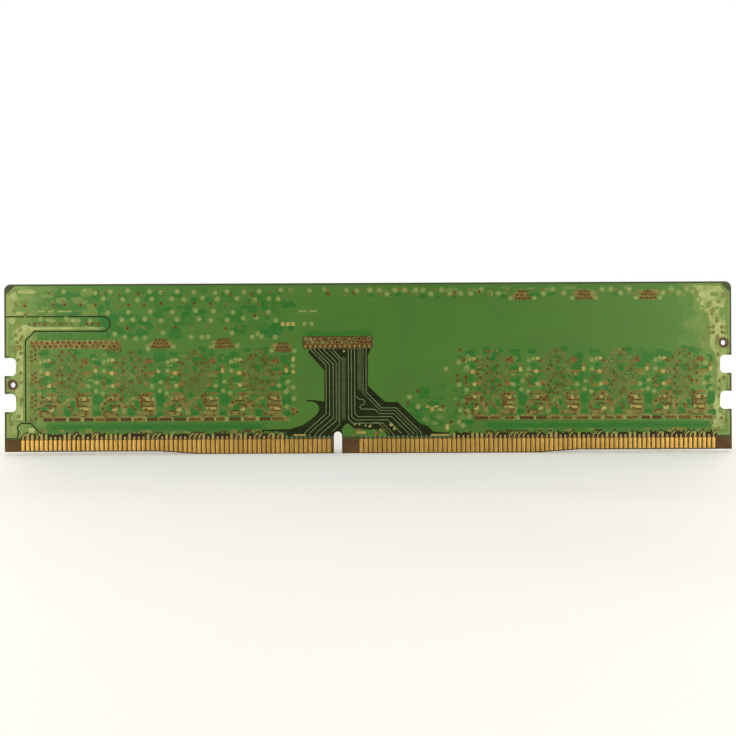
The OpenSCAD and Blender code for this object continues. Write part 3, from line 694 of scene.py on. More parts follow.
def field(c):
    """The vias and pads that show through behind one memory package."""
    for _ in range(24):
        patch(dice.choice(("deep", "vivid")), near(c, 5.8), dice.uniform(11, 19), dice.uniform(1, 2.6),
              dice.uniform(0.7, 1.7))
    for dx, z, w, h in (
            (-4.1, 13.5, 1.6, 1.2), (1.3, 19, 1.9, 1), (5.3, 9.9, 1.8, 2.4), (5.2, 7.3, 1.6, 1.3),
            (4.7, 17.6, 1.4, 1.6), (-3.9, 16, 1.3, 0.8), (-4.2, 18.4, 2, 0.9), (-2.4, 11.7, 1.2, 1.3),
            (4.6, 13.4, 1.2, 1.2), (0.2, 17.7, 1, 0.9), (0.1, 15.5, 0.9, 1.2), (-1, 11, 1.4, 0.9),
            (0.4, 13.6, 1.6, 0.6), (4.7, 11.8, 1.3, 1)):
        patch("vivid", near(c + dx, 0.3), near(z, 0.2), w, h)
    for _ in range(9):
        patch("halo", near(c, 5.6), dice.uniform(10.8, 18.6), dice.uniform(0.6, 1.4),
              dice.uniform(0.4, 0.9))

    # Strips of thinner mask between the package and the contacts
    for points, w, kind in (
            ([(-5.5, 8.8), (-4.4, 9.6), (-3.5, 10.3), (-2, 10.4)], 0.85, "olive"),
            ([(-2.6, 9.6), (-1.6, 8.9), (-1.2, 7.3)], 0.9, "olive"),
            ([(-1, 9), (0.1, 10.2), (1.1, 10.25)], 0.5, "olive"),
            ([(0.3, 9.4), (0.5, 7.4)], 0.5, "olive"),
            ([(1.7, 10.15), (4.2, 10.15)], 0.62, "tan"),
            ([(1.9, 9.2), (4.2, 9.2)], 0.6, "olive"),
            ([(2.1, 8.35), (4.2, 8.35)], 0.55, "tan"),
            ([(0.9, 7.45), (4.4, 7.45)], 0.8, "olive"),
            ([(4.15, 10.2), (4.15, 7.2)], 0.5, "olive"),
            ([(-5.6, 7.4), (-2.9, 7.4)], 0.8, "olive"),
            ([(-4.1, 10.2), (-2.7, 10.2)], 0.5, "tan"),
            ([(-3.4, 8.2), (-2.5, 8.2)], 0.6, "tan")):
        shift = dice.uniform(-0.15, 0.15)
        back.path(kind, [(c + dx + shift, near(z, 0.06)) for dx, z in points], w)
    for dx, z, w, h in (
            (5.3, 10, 1.5, 2.2), (-0.1, 7.6, 1.5, 1.5), (-4.1, 8.4, 1.2, 0.9), (0.9, 9, 0.9, 1.2)):
        patch("vivid", near(c + dx, 0.2), near(z, 0.15), w, h)
    for dx, z, w, h in (
            (-3.6, 9.75, 1.8, 0.28), (-3.2, 8.95, 1.7, 0.3), (3.1, 9.7, 1.9, 0.26), (3.1, 8.8, 2, 0.28),
            (3.1, 7.95, 1.8, 0.26), (-4.3, 7.85, 1.6, 0.26), (2.6, 7, 2.2, 0.22), (-4.3, 6.95, 1.8, 0.22),
            (2.1, 9.6, 0.8, 1.3), (-1.9, 9.9, 0.7, 0.9)):
        back.bar("brown", near(c + dx, 0.15), near(z, 0.05), w, h)

    # The package's own vias, clear of the two empty middles
    for row in range(ROWS):
        z = ROW_TOP - row * ROW_PITCH
        for column in range(-(COLUMNS // 2), COLUMNS // 2 + 1):
            dx = column * COLUMN_PITCH + (COLUMN_PITCH / 2 if row % 2 else 0) - 0.1
            inner = min(math.hypot(dx - 0.1, (z - 17.7) * 1.1), math.hypot(dx - 0.1, (z - 15.5) * 0.8))
            if abs(dx) < wide(z) and inner > CLEAR and dice.random() > 0.08:
                back.via(near(c + dx, 0.06), near(z, 0.06), "red" if dice.random() < 0.3 else "ring",
                         r=dice.uniform(0.25, 0.29), dot=dice.random() < 0.35)
    patch("red", c + 3.2, 17, 1.5, 1.1)
    for dx, z in ((2.8, 17.1), (3.5, 16.8), (3.3, 17.4), (-5.3, 13.4), (-4.8, 13.9), (-5, 12.9),
                  (-3.2, 16.9), (-2.6, 16.8)):
        back.via(c + dx, z, "red", r=0.22, dot=dice.random() < 0.5)

    # Pads and short lines round the package
    for dx, z, w, h, kind in (
            (-4.4, 14.9, 0.8, 0.34, "red"), (-3.6, 14.85, 0.75, 0.75, "tan"),
            (-2.9, 14.95, 0.7, 0.34, "red"), (3.6, 14.95, 1.7, 0.34, "red"),
            (3.8, 14.4, 0.9, 0.5, "olive"), (5.1, 15.3, 0.65, 0.8, "tan"),
            (5.1, 16.1, 0.6, 0.5, "red"), (2.7, 12.8, 0.5, 0.9, "red"),
            (-2.5, 12.85, 0.8, 0.7, "red"), (-3.4, 12.6, 0.7, 0.7, "tan"),
            (-4.7, 12.2, 0.9, 0.4, "red"), (3.6, 12.6, 0.6, 0.6, "tan"),
            (3.4, 11.05, 1.6, 0.36, "red"), (-3, 11.1, 1.9, 0.32, "red"),
            (-3.4, 17.25, 0.7, 0.6, "tan")):
        back.bar(kind, near(c + dx, 0.1), near(z, 0.05), w, h)
    for dx, z in (
            (-4.8, 9.4), (-3.8, 10.1), (-2.9, 10.1), (-1.5, 9.6), (-1.7, 10.2), (0.7, 8.3), (1.8, 10.3),
            (1.9, 9.6), (2.4, 10), (2.3, 9.3), (3.6, 10.2), (3.9, 8.8), (2.6, 8.1), (3.4, 7.4),
            (-5.1, 7.4), (-3.6, 7.5), (-1.1, 8.8), (-2.3, 8.8), (-3.2, 8.6), (1.2, 7.3), (-2.2, 9.6),
            (1.8, 8.8), (1.4, 10.8), (2.1, 10.9), (2.8, 10.8), (-4.6, 10.6), (-3, 10.8), (0.2, 8.7),
            (-5.3, 8.3), (-2.6, 7.2)):
        back.via(near(c + dx, 0.1), near(z, 0.1), "red" if dice.random() < 0.5 else "ring", r=0.28,
                 dot=dice.random() < 0.4)
    back.blobs(0.33, [(c + dx, z) for dx, z in (
        (-5, 16.9), (-5, 15.3), (3.8, 12.5), (-5.2, 11.2), (5.4, 13.2), (5.2, 11.6), (-4.2, 17.2))])


for x in PACKAGE_X:
    field(x)

# Brown dashes below the fields, or rows of small vias in their place, with lighter ends
DASH_Z, DASH_PITCH = 6.38, 0.52
for start, end in ((-59.5, -17), (19.5, 63)):
    x = start
    while x < end:
        w = dice.uniform(1.2, 2.6)
        back.bar(dice.choice(("olive", "olive", "deep")), x + w / 2, 6.8, w, 0.5, 0.15)
        if dice.random() < (0.6 if start > 0 else 0.25):
            back.bar("olive", x + w / 2, DASH_Z, w, 0.7, 0.1)
            for i in range(int(w / DASH_PITCH)):
                back.via(x + (i + 0.5) * DASH_PITCH, near(DASH_Z, 0.06), "red", r=0.24, dot=False)
        else:
            back.bar("soil", x + w / 2, DASH_Z, w + 0.2, 0.6, 0.1)
            back.bar("brown", x + w / 2, DASH_Z, w, 0.34, 0.05)
            for i in range(3):
                back.disc("hole", x + w * (0.2 + 0.3 * i), DASH_Z, 0.12, 6)
        gap = dice.uniform(0.3, 0.8)
        back.bar(dice.choice(("olive", "blob", "halo")), x + w + gap / 2, 6.4, gap, 0.8, 0.1)
        x += w + gap

# Brown double rows of vias along the top of the left fields, and down beside the first one
back.bar("olive", -53.7, 20.15, 17, 1.5, 0.5)
for i in range(17):
    for shift, z in ((0, 20.5), (0.45, 19.8)):
        back.via(near(-61.7 + shift + i * 0.98, 0.06), near(z, 0.08), "red", r=0.3, dot=dice.random() < 0.4)
    back.disc("tan", -61.3 + i * 0.98, 20.75, 0.13, 6)
for i in range(5):
    back.via(-47.8 + i * 0.6, 19.1 + (i % 2) * 0.3, "red", r=0.24, dot=False)
for i in range(16):
    z = 18.8 - i * 0.84
    grouped = i % 5 < 3
    back.via(near(-61.65, 0.12), z, "red" if grouped else "ring", r=0.29 if grouped else 0.24)
    if grouped:
        back.via(-61.0, z + 0.35, "red", r=0.24, dot=False)
    back.path("olive", [(-60.6, z + 0.5), (-60.25, z), (-60.55, z - 0.35)], 0.22)


def cluster(x, z, w, rows=3):
    """A trapezium of closely spaced brown vias with a filled via at each end."""
    for _ in range(9):
        patch("olive", x + dice.uniform(-w / 2, w / 2), z + dice.uniform(-0.7, 0.5), 1.5, 0.9)
    for row in range(rows):
        places = int((w - row * 0.5) / 0.6)
        for i in range(places):
            back.via(near(x + (i - (places - 1) / 2) * 0.6, 0.08),
                     near(z + (row - (rows - 1) / 2) * 0.62, 0.06), "red", r=0.26, dot=False)
    for end in (-1, 1):
        back.blob(x + end * (w / 2 + 0.6), z - 0.6, 0.34)


TOP_CLUSTERS = (28.4, 39.7, 51.4)
for x, z, w in ((-38, 20.3, 3.6), (-26.4, 20.3, 3.6), (-15.6, 19.5, 3)):
    cluster(x, z, w)
for x in TOP_CLUSTERS:
    cluster(x, 28.9, 3.2)

# Filled vias and open vias over the left half and along the top: the height and places of each row
BLOB_ROWS = [
    (29.85, (-55.75, -51.9, -50, -47.2, -44, -40, -37.9, -34.9, -31.9, -28, -25.8, -22.7, -19.9, -15.9,
             -14, -10.7, -7.9, -3.9, -2)),
    (28.45, (-48.5, -44.9, -42.2, -39.6, -35.9, -33.7, -30.3, -27.6, -24, -20.7, -18.1, -16.4)),
    (26.1, (-47.7, -43.9, -39.9, -35.9, -31.6, -28.3, -24.7, -18.2)),
    (24.65, (-60, -58, -55.3, -53.1, -50.9, -45.1, -43.1, -40.9, -37.9, -35, -30.9, -28.8, -25.8, -22.8,
             -20.4, -16.9)),
    (21.3, (-44.6, -42.6, -40.9, -32.4, -30.4, -29.3, -21.2, -19.5, -17)),
    (22.1, (-46.4, -37.6, -24.9, -20.2)),
    (19.6, (-40.3, -28.4, -23.9)),
]
EVEN_ROW = 23.95
VIA_ROWS = [
    (29.4, (-58, -48.6, -45.6, -42.1, -37.5, -25.1, -21.4, -18, -7.3, -2.6, 4.2, 7.6, 15.9, 20.5)),
    (27.5, (-64.5, -62.9, -57.7, -55.6, -52.7, -49.9, -45.9, -43.9, -41, -37.9, -33.9, -31.8, -28.8,
            -25.9, -21.9, -20)),
    (25.4, (-62.8, -20.7, -18.9)),
    (23.2, (-44.1, -40.9, -38.3, -35.3, -32.3, -29.3, -26.1, -23.5)),
    (EVEN_ROW, (-62.1, -61.1, -60.2, -59.2, -58.2, -57.3, -56.3, -55.4, -54.4, -51.5, -50.5, -49.4)),
]
for z, places in BLOB_ROWS:
    for x in places:
        back.blob(x, near(z, 0.25))
for z, places in VIA_ROWS:
    for x in places:
        back.via(x, near(z, 0.05 if z == EVEN_ROW else 0.2), dice.choice(("red", "ring")), r=0.3, dot=False)
x = 0.4
while x < 60:
    if not any(abs(x - c) < 2.6 for c in TOP_CLUSTERS):
        back.blob(x, 29.9 if dice.random() < 0.5 else 29.2, 0.4)
    x += dice.uniform(1.3, 2.1)

# Vias at the right end, then at the left end
back.vias("ring", 0.3, (
    (60.5, 29.2), (62.7, 27.2), (64.3, 27.55), (63.1, 25.3), (64, 24), (63.3, 22.9), (64.9, 22.9),
    (63.3, 21.9), (65, 21.9), (64.1, 21.1), (64.2, 17.8), (64.4, 13), (65.3, 13.6), (64.4, 11.5),
    (63, 8.2), (63, 5.3), (64.8, 6.2), (64.2, 4.2), (62.3, 4.2), (65.6, 5.6)))
back.blobs(0.42, ((59.6, 29.4), (61.2, 26.3), (60.7, 27.9), (61.6, 12.6), (61.9, 16.3), (65.2, 7.4)))
back.vias("ring", 0.3, (
    (-63.7, 23), (-64.6, 21.9), (-63.4, 21.6), (-65.2, 19.7), (-64.65, 18.9), (-64.8, 26.3),
    (-64.2, 17.4), (-63.6, 18.6), (-63.7, 15), (-63.5, 10), (-64.1, 7), (-65.4, 5.6), (-64.3, 20.6)))

# Between the address window and the fields on either side of it
scatter(26, ("deep", "vivid", "deep"), (7, 18.5), (5, 13), (1, 2.8), (0.7, 1.6))
scatter(10, "halo", (9.5, 18.5), (5, 10), (0.7, 1.6), (0.5, 1))
back.blobs(0.38, (
    (7.6, 10.3), (9.15, 8.5), (18.2, 15.4), (14.3, 15.4), (16.6, 16.6), (16.7, 12.5), (18.1, 11.5),
    (18.1, 15.7), (16.6, 5.6), (17.4, 5), (18.6, 6.6), (16.9, 7.8), (18.2, 7.7), (5.6, 4.3), (0.9, 4.2)))
back.vias("red", 0.3, (
    (9.15, 11.4), (7.3, 9.2), (13.7, 8.6), (16.9, 18.9), (16.4, 14.2), (16.4, 13.2), (18, 13.9),
    (18.1, 9.9), (18.1, 9), (16.5, 8.9), (15.2, 5.7), (17.6, 17)))
back.bars("tan", (
    (11.7, 8, 0.7, 0.8), (13.1, 7.95, 0.8, 0.35), (10.9, 8.5, 0.6, 0.4), (12.5, 8.5, 0.7, 0.35),
    (14.5, 4.7, 0.6, 1.1), (-13.7, 17.3, 0.6, 0.9), (-13.7, 15, 0.6, 0.7)))
back.blobs(0.36, ((-13.7, 12.1), (-13.6, 10.1), (-15.1, 11.3), (-13.8, 16.1), (-14.9, 8.6)))
patch("olive", -13.5, 7.8, 1.5, 1.4)
back.vias("red", 0.26, ((-13.8, 8.1), (-13.1, 7.6), (-13.7, 7.3)))

# The window without copper above the key
back.area("bare", [
    (-10.9, 19.4), (-10.9, 18.45), (-8, 15.2), (-8.05, 9.5), (-9.6, 9.75), (-11.3, 9.85), (-11.35, 9.6),
    (-9.8, 9.4), (-9.2, 8.9), (-8.95, 8.1), (-9.4, 7.2), (-10.7, 6.1), (-12.1, 5.2), (-14.3, 4.5),
    (-19.6, 4.4), (-19.6, 4.15), (-15, 4), (-14.95, COPPER_LOW),
    (14.95, COPPER_LOW), (14.9, 3.7), (11.9, 3.95), (10.95, 4.95), (9.55, 5.4), (5.4, 9.4), (3.15, 9.4),
    (0.55, 11.8), (0, 12.35), (0, 17.9), (0.6, 19.4)])

# The strip of vias along its top: three rows, the lowest one with pads for the address lines
back.bar("shade", -5.55, 20.35, 12.9, 2.4, 0.3)
back.bar("soil", -5.55, 20.35, 12.6, 2.1, 0.3)
for row in range(3):
    for column in range(14):
        x = -11.45 + column * 0.9 + (0.35 if row == 1 else 0)
        z = 19.62 + row * 0.7
        if row == 0:
            back.bar("red", x, z, 0.46, 0.6)
            back.disc("tan", x, z + 0.1, 0.15, 6)
        else:
            x, z = near(x, 0.07), near(z, 0.06)
            back.disc(dice.choice(("red", "red", "ring")), x, z, 0.35)
            back.disc("hole", x, z, 0.22, 8)
            # Some holes get a painted highlight: a pale dot that stands for a reflection
            if dice.random() < 0.3:
                back.disc("dot", x, z, 0.13, 6)

# The address lines, from the strip down to the contacts
LINE, THIN_LINE = 0.13, 0.1
for start, x, low, contact in (
        (-10.5, -7.7, 7.3, 3.9), (-9.8, -7.05, 7, 3.5), (-9, -6.4, 6.5, 2.9), (-8.1, -5.85, 6, 2.6)):
    back.path("trace", [(start, 19.4), (start, 19), (x, 19 + start - x), (x, low),
                        (x - contact, low - contact + 0.4), (x - contact - 0.5, 3.2)], LINE)
back.path("trace", [(-7.2, 19.4), (-7.2, 19.1), (-5.25, 17.1), (-5.25, 5.3), (-6.6, 3.95)], THIN_LINE)
back.path("trace", [(-6.3, 19.4), (-6.3, 18.9), (-4.75, 17.1), (-4.75, 16.7)], LINE)
back.path("dull", [(-4.5, 17.6), (-4.5, 6.6), (-4.3, 6.2)], 0.75)
back.path("dull", [(-1.55, 19.3), (-1.55, 12.2), (-1.2, 11.6)], 0.8)
back.path("dull", [(-5.45, 16.8), (-5.45, 5.8)], 0.2)
back.disc("dot", -4.4, 18.75, 0.2, 8)
for x, z, corner, reach, slope in (
        (-3.6, 5.5, 0.8, 2.6, 2.1), (-3.05, 6.1, 0.7, 3.6, 2.5), (-2.45, 6.7, 0.6, 4.3, 3.4)):
    back.path("trace", [(x, 19.3), (x, z + corner), (x + corner, z), (reach, z),
                        (reach + slope, z - slope)], LINE)
back.path("trace", [(-0.35, 19.3), (-0.35, 11.2), (0.55, 10.3), (2.5, 8.3), (5.1, 8.3), (9.35, 4.1),
                    (9.9, 3.4)], LINE)
back.path("trace", [(-0.9, 19.3), (-0.9, 11), (0.3, 9.8), (2, 8.1), (2.3, 7.8), (4.9, 7.8), (8.9, 3.8),
                    (9.1, 3.4)], THIN_LINE)
back.path("trace", [(0.4, 8.1), (1.3, 8), (2.05, 7.25), (4.66, 7.25), (8.4, 3.5)], LINE)
# A line that winds to gain length
back.path("trace", [(-2.45, 10.6), (-1.7, 9.95), (-0.9, 9.85), (-0.6, 9.45), (-0.8, 9), (-1.35, 8.75),
                    (-1.55, 8.4), (-1.2, 8.1), (0.4, 8.1)], LINE)
back.path("olive", [(0.6, 5.6), (1.8, 5.6), (3.9, 3.5)], 0.12)
for x, z in ((-2.5, 5.3), (-1.6, 5.3), (-0.5, 5.1), (0.4, 5.1)):
    back.disc("dot", x, z, 0.17, 8)
back.bars("tan", ((4.2, 5.2, 0.6, 0.5), (2.3, 4, 0.5, 1), (0.3, 4.9, 0.5, 0.35), (4.8, 4.5, 0.4, 0.6)))

# The copper to the right of the key, and pads just above the contacts
back.area("pour", [(-4.85, 4.4), (-4.6, COPPER_LOW), (3.6, COPPER_LOW), (2.9, 4.1), (0.2, 4.3), (-2.6, 4.5),
                   (-3.7, 5.5), (-4.3, 5.2)])
back.bar("bare", 1.7, 3.6, 0.3, 0.9)
scatter(16, ("olive", "olive", "deep", "red"), (-4.2, 3.4), (3.3, 4.3), (0.4, 0.9), (0.3, 0.6))
back.bars("tan", ((-1.3, 3.8, 1.8, 0.45), (13.2, 3.3, 3.4, 0.35), (-12.6, 3.4, 2.2, 0.3)))

# Necks that join the contacts to the copper, and dark gaps round the tops of the others
for _ in range(150):
    x = dice.uniform(-62, 64)
    if not -19 < x < 16:
        patch(dice.choice(("olive", "olive", "halo", "soil")), x, dice.uniform(3.2, 4.3),
              dice.uniform(0.5, 1.6), dice.uniform(0.3, 0.8))
for contact in CONTACTS["back_contacts_left"] + CONTACTS["back_contacts_right"]:
    x = middle(contact)[0]
    if -15 < x < 15:
        back.path("trace", [(x, MASK_LOW), (x, 3.3)], 0.22)
        continue
    tall = dice.uniform(0.3, 1.0)
    back.bar("soil", x, 3.02, PITCH + 0.02, 0.6, 0.01)
    back.bar("pit", x + PITCH / 2, MASK_LOW + 0.3 + tall / 2, 0.36, tall + 0.2, 0.1)
    neck = dice.random()
    if neck < 0.35:
        back.bar("tan", x, 3.15, 0.4, 1.0, 0.05)
    elif neck < 0.7:
        back.path("pit", [(x - 0.42, MASK_LOW), (x - 0.34, 3.3), (x, 3.6), (x + 0.34, 3.3),
                          (x + 0.42, MASK_LOW)], 0.36)
        back.bar("tan", x, 2.98, 0.32, 0.5, 0.05)
    else:
        back.path("pit", [(x - 0.25, 3.05), (x + 0.4, 3.85), (x + 0.85, 4.1)], 0.34)
        back.path("tan", [(x, MASK_LOW), (x, 3.2), (x + 0.6, 3.85)], 0.2)

# Plain printed bars
back.bars("blob", (
    (-59.9, 26.25, 1.2, 0.32), (-58.1, 26.25, 1.1, 0.32), (-55.6, 26.25, 2.6, 0.32),
    (-11.9, 26.1, 1.6, 0.4), (-10, 26.1, 1.4, 0.4), (-11.6, 23.8, 0.7, 0.7), (-10.3, 23.8, 0.7, 0.7)))
back.bars("mark", [(-15.6 + i * 0.95, 23.75, 0.7, 0.75) for i in range(3)])

for x, z in VIAS:
    in_strip = -12 < x < 1.2 and 19 < z < 22
    if not in_strip:
        back.via(x, z, r=0.28)
for x, z in HOLES:
    back.disc("olive", x, z, HOLE_CLEAR + 0.22, 24)
back.holes()
back.build(BACK, LEVELS, [
    ("back_mask", "solder_mask", ("back_solder_mask",), MASK_LEVELS),
    ("back_vias", "copper", ("via_barrels",), VIA_LEVELS),
    ("back_pads", "copper", ("back_copper",), PAD_LEVELS),
])


# ---------- the front ----------

front = Pattern()
TRACE = 0.14
for name in ("front_contacts_left", "front_contacts_right"):
    for i, contact in enumerate(CONTACTS[name]):
        x = middle(contact)[0]
        if i % 4 == 0:
            front.bar("olive", x, 3.2, 0.4, 0.9, 0.05)
        else:
            front.bar("bare", x, 3.35, 0.5, 0.7, 0.1)
            front.path("trace", [(x, MASK_LOW), (x, 3.4)], 0.2)

# Round each package: a bare area under it, its data lines, vias above it and white corner marks
for c in PACKAGE_X:
    front.bar("bare", c, PACKAGE_Z, 7.2, 10.4, 0.3)
    for i in range(8):
        dx = -3.15 + i * 0.9
        front.path("trace", [(c + dx, 3.4), (c + dx, 4.4), (c + dx * 0.95, 4.9), (c + dx * 0.95, 5.6)], TRACE)
        front.path("trace", [(c + dx * 0.95, 7.2), (c + dx * 0.95, 7.8), (c + dx * 0.8, 8.4),
                             (c + dx * 0.8, 9.6)], TRACE)
    for i in range(7):
        front.via(c - 3.4 + i * 1.1, 20.2, r=0.26, dot=False)
    for x, z in ((c - 3.95, 20.05), (c + 3.95, 20.05), (c - 3.95, 8.7), (c + 3.95, 8.7)):
        front.bar("white", x, z, 0.9, 0.14, 0.02)
    front.disc("white", c + 4.15, 20.5, 0.22, 12)

# Tinned pads of the small parts
for node, w, h in (("decoupling_capacitor_terminals", 0.42, 0.62), ("bulk_capacitor_terminals", 0.62, 0.95)):
    for solid in solids(node):
        x, _, z = middle(solid)
        front.bar("bare", x, z, w + 0.3, h + 0.3, 0.1)
        front.bar("tin", x, z, w, h, 0.05)
ARRAY_ROW_Z, ARRAY_PAD_SHIFT = 6.4, 0.12
for solid in ARRAY_ENDS:
    x, _, z = middle(solid)
    front.bar("tin", x, z + math.copysign(ARRAY_PAD_SHIFT, z - ARRAY_ROW_Z), 0.34, 0.42, 0.04)
for pad in ID_PADS:
    (x, z), w, h = plan(pad)
    front.bar("tin", x, z, w + 0.25, h + 0.06, 0.04)

# Vias between and above the packages
for c in (-60, -14, -8, -2, 4, 10, 16):
    for row in range(2):
        front.via(near(c, 1), near(28.9 - row * 1.7, 0.3), r=0.26)
for i in range(26):
    front.blob(near(-64 + i * 5.1, 1), near(29.7, 0.4), 0.33)

# Address lines from the via strip down to the contacts, either side of the key
for i in range(4):
    for x, turn in ((-11.25 + i * 1.1, -1), (-3.6 + i * 1.1, 1)):
        bend = 15 - turn * i * 0.6
        foot = 5.6 + turn * i * 0.6
        front.path("trace", [(x, 19.6), (x, bend), (x + turn * 2, bend - 2), (x + turn * 2, foot),
                             (x + turn * 3.2, foot - 1.2), (x + turn * 3.2, 3.3)], TRACE)
for x, z in VIAS:
    front.via(x, z, r=0.28)
front.holes()
front.build(FRONT, dict(LEVELS, tin=FOIL), [
    ("front_mask", "solder_mask", ("front_solder_mask",), MASK_LEVELS),
    ("front_vias", "copper", (), VIA_LEVELS),
    ("front_pads", "tinned_terminals", ("front_copper",), ("tin", "tan")),
])


# ---------- contacts ----------

# The plated contact's crown stands below the foil's face
CONTACT_CROWN = 0.006
for name, places in CONTACTS.items():
    side = BACK if name.startswith("back") else FRONT
    shape = Shape()
    for solid in places:
        at, w, h = plan(solid)
        pillow(shape, side, at, w, h, FACE, FOIL - CONTACT_CROWN, 0.12, 0.03, "gold",
               crown=CONTACT_CROWN, steps=4)
    shape.finish(name + "_plated", "gold_contacts", (name,), smooth=True)


# ---------- memory packages and the identity chip ----------

# Cut ends of the plating lines on the long sides of a package's board: how many, half their
# width, how far they stand out and how deep they are drawn
STUBS, STUB_HALF, STUB_OUT, STUB_DEEP = 9, 0.06, 0.004, 0.012


def stubs(shape, low, high):
    for i in range(STUBS):
        z = low[2] + 0.9 + i * (high[2] - low[2] - 1.8) / (STUBS - 1)
        for x, inward in ((low[0] - STUB_OUT, 1), (high[0] + STUB_OUT, -1)):
            outer, inner = [[shape.point(at, low[1] + y, z + dz) for y, dz in (
                (0.06, -STUB_HALF), (0.09, -STUB_HALF), (0.09, STUB_HALF), (0.06, STUB_HALF))]
                for at in (x, x + inward * STUB_DEEP)]
            shape.face(outer[::-inward], "copper")
            for k in range(4):
                m = (k + 1) % 4
                shape.face([outer[k], outer[m], inner[m], inner[k]][::inward], "copper")


for package in PACKAGES:
    solid = low, high = box_mm(package + "_body")
    shape = Shape()
    plate(shape, solid, 0.12, 0.05, "mould", under=True, sunk=(high[0] - 0.8, high[2] - 0.8, 0.35, 0.03))
    shape.finish(package + "_moulding", "mould_compound", (package + "_body",), smooth=True)
    solid = low, high = box_mm(package + "_substrate")
    shape = Shape()
    plate(shape, solid, 0.1, 0.015, "substrate", under=True)
    stubs(shape, low, high)
    shape.finish(package + "_board", "package_substrate", (package + "_substrate",), smooth=True)

solid = low, high = box_mm("id_chip_body")
shape = Shape()
plate(shape, solid, 0.08, 0.05, "mould", under=True, sunk=(high[0] - 0.45, high[2] - 0.45, 0.18, 0.02))
shape.finish("id_chip_moulding", "mould_compound", ("id_chip_body",), smooth=True)


# ---------- small parts ----------

for prefix in ("decoupling_capacitor", "bulk_capacitor"):
    body, ends = Shape(), Shape()
    for solid in solids(prefix + "_bodies"):
        plate(body, solid, 0.04, 0.04, "ceramic", (0.02, 0), crown=0.004, steps=2, under=True)
    body.finish(prefix + "_ceramic", "capacitor_ceramic", (prefix + "_bodies",), smooth=True)
    for solid in solids(prefix + "_terminals"):
        plate(ends, solid, 0.06, 0.06, "tin", crown=0.006, under=True)
    ends.finish(prefix + "_ends", "tinned_terminals", (prefix + "_terminals",), smooth=True)

# Each array is white ceramic that reaches into its terminals, with a dark glaze on top
shape = Shape()
for solid in ARRAYS:
    plate(shape, solid, 0.05, 0.03, "alumina", (0, 0.3), 0.04, steps=2, under=True)
    at, w, h = plan(solid)
    top = solid[1][1]
    pillow(shape, FRONT, at, w - 0.12, h - 0.02, top - 0.05, top, 0.06, 0.03, "glaze", crown=0.003, steps=2)
shape.finish("resistor_array_chips", "resistor_glaze", ("resistor_array_bodies",), smooth=True)
shape = Shape()
for solid in ARRAY_ENDS:
    plate(shape, solid, 0.05, 0.04, "tin", (0, 0.04), 0.01, steps=2, under=True)
shape.finish("resistor_array_ends", "tinned_terminals", ("resistor_array_terminals",), smooth=True)


def fillet(shape, solid, grow, climb, reach, sides):
    """Solder that climbs from the pad up a terminal's end: concave, spreading by reach at the pad,
    in the parts of it that sides gives for X and Z."""
    (x, z), w, h = plan(solid)
    rise = solid[0][1] + climb - FOIL
    rims = []
    for i in range(5):
        t = i / 4
        out = reach * (1 - t) ** 2
        rims.append([shape.point(x + dx + math.copysign(out, dx) * sides[0], FOIL + rise * t,
                                 z + dz + math.copysign(out, dz) * sides[1])
                     for dx, dz in ring_points(w + grow[0], h + grow[1], 0.05, 2)])
    for lower, upper in zip(rims, rims[1:]):
        for i in range(len(lower)):
            j = (i + 1) % len(lower)
            shape.face([lower[i], upper[i], upper[j], lower[j]], "solder")


shape = Shape()
for prefix, climb in (("decoupling_capacitor", 0.3), ("bulk_capacitor", 0.45)):
    for solid in solids(prefix + "_terminals"):
        fillet(shape, solid, (0.006, 0.006), climb, 0.12, (1, 0.5))
for solid in ARRAY_ENDS:
    fillet(shape, solid, (0.006, 0.04), 0.2, 0.08, (0.4, 1))
for solid in ID_PADS:
    fillet(shape, solid, (0, 0), 0.02, 0.06, (1, 0.3))
shape.finish("front_solder_fillets", "solder", ("front_solder",), smooth=True)


# ---------- CAD nodes that keep their shape ----------

KEPT = {"memory_chips": "die", "id_chip_pads": "tin"}
for node in ("centre_core", "back_core", "front_core"):
    KEPT[node] = "laminate"
for node in ("back_outer_prepreg", "back_inner_prepreg", "front_inner_prepreg", "front_outer_prepreg"):
    KEPT[node] = "prepreg"
for node in ("back_ground_plane", "back_signal_layer", "back_power_plane", "front_power_plane",
             "front_signal_layer", "front_ground_plane"):
    KEPT[node] = "copper"
for package in PACKAGES:
    KEPT[package + "_balls"] = "solder"
for node, look in KEPT.items():
    nodes[node].data.materials.clear()
    nodes[node].data.materials.append(MAT[look])


# ---------- floor, light and camera ----------

WHITE = (1, 1, 1, 1)
FLOOR_RADIUS = 2
# Between these distances, in metres, the floor fades into the pale room
FADE_FROM, FADE_TO = 0.2, 0.6

low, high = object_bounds()
centre = (low + high) / 2

mesh = bpy.data.meshes.new("floor")
grid = bmesh.new()
bmesh.ops.create_circle(grid, cap_ends=True, segments=96, radius=FLOOR_RADIUS)
grid.to_mesh(mesh)
grid.free()
mesh.materials.append(MAT["floor"])
floor = bpy.data.objects.new("floor", mesh)
bpy.context.scene.collection.objects.link(floor)
floor.location = (0, 0, low.z)

tree = MAT["floor"].node_tree
link = tree.links.new
away = tree.nodes.new("ShaderNodeVectorMath")
away.operation = "LENGTH"
spot = tree.nodes.new("ShaderNodeTexCoord")
link(spot.outputs["Object"], away.inputs[0])
fade = tree.nodes.new("ShaderNodeMapRange")
for socket, number in zip(fade.inputs[1:5], (FADE_FROM, FADE_TO, 0, 1)):
    socket.default_value = number
link(away.outputs["Value"], fade.inputs[0])
glow = tree.nodes.new("ShaderNodeEmission")
glow.inputs["Color"].default_value = WHITE
glow.inputs["Strength"].default_value = 1.0
both = tree.nodes.new("ShaderNodeMixShader")
link(fade.outputs[0], both.inputs[0])
link(tree.nodes["Principled BSDF"].outputs[0], both.inputs[1])
link(glow.outputs[0], both.inputs[2])
link(both.outputs[0], tree.nodes["Material Output"].inputs["Surface"])


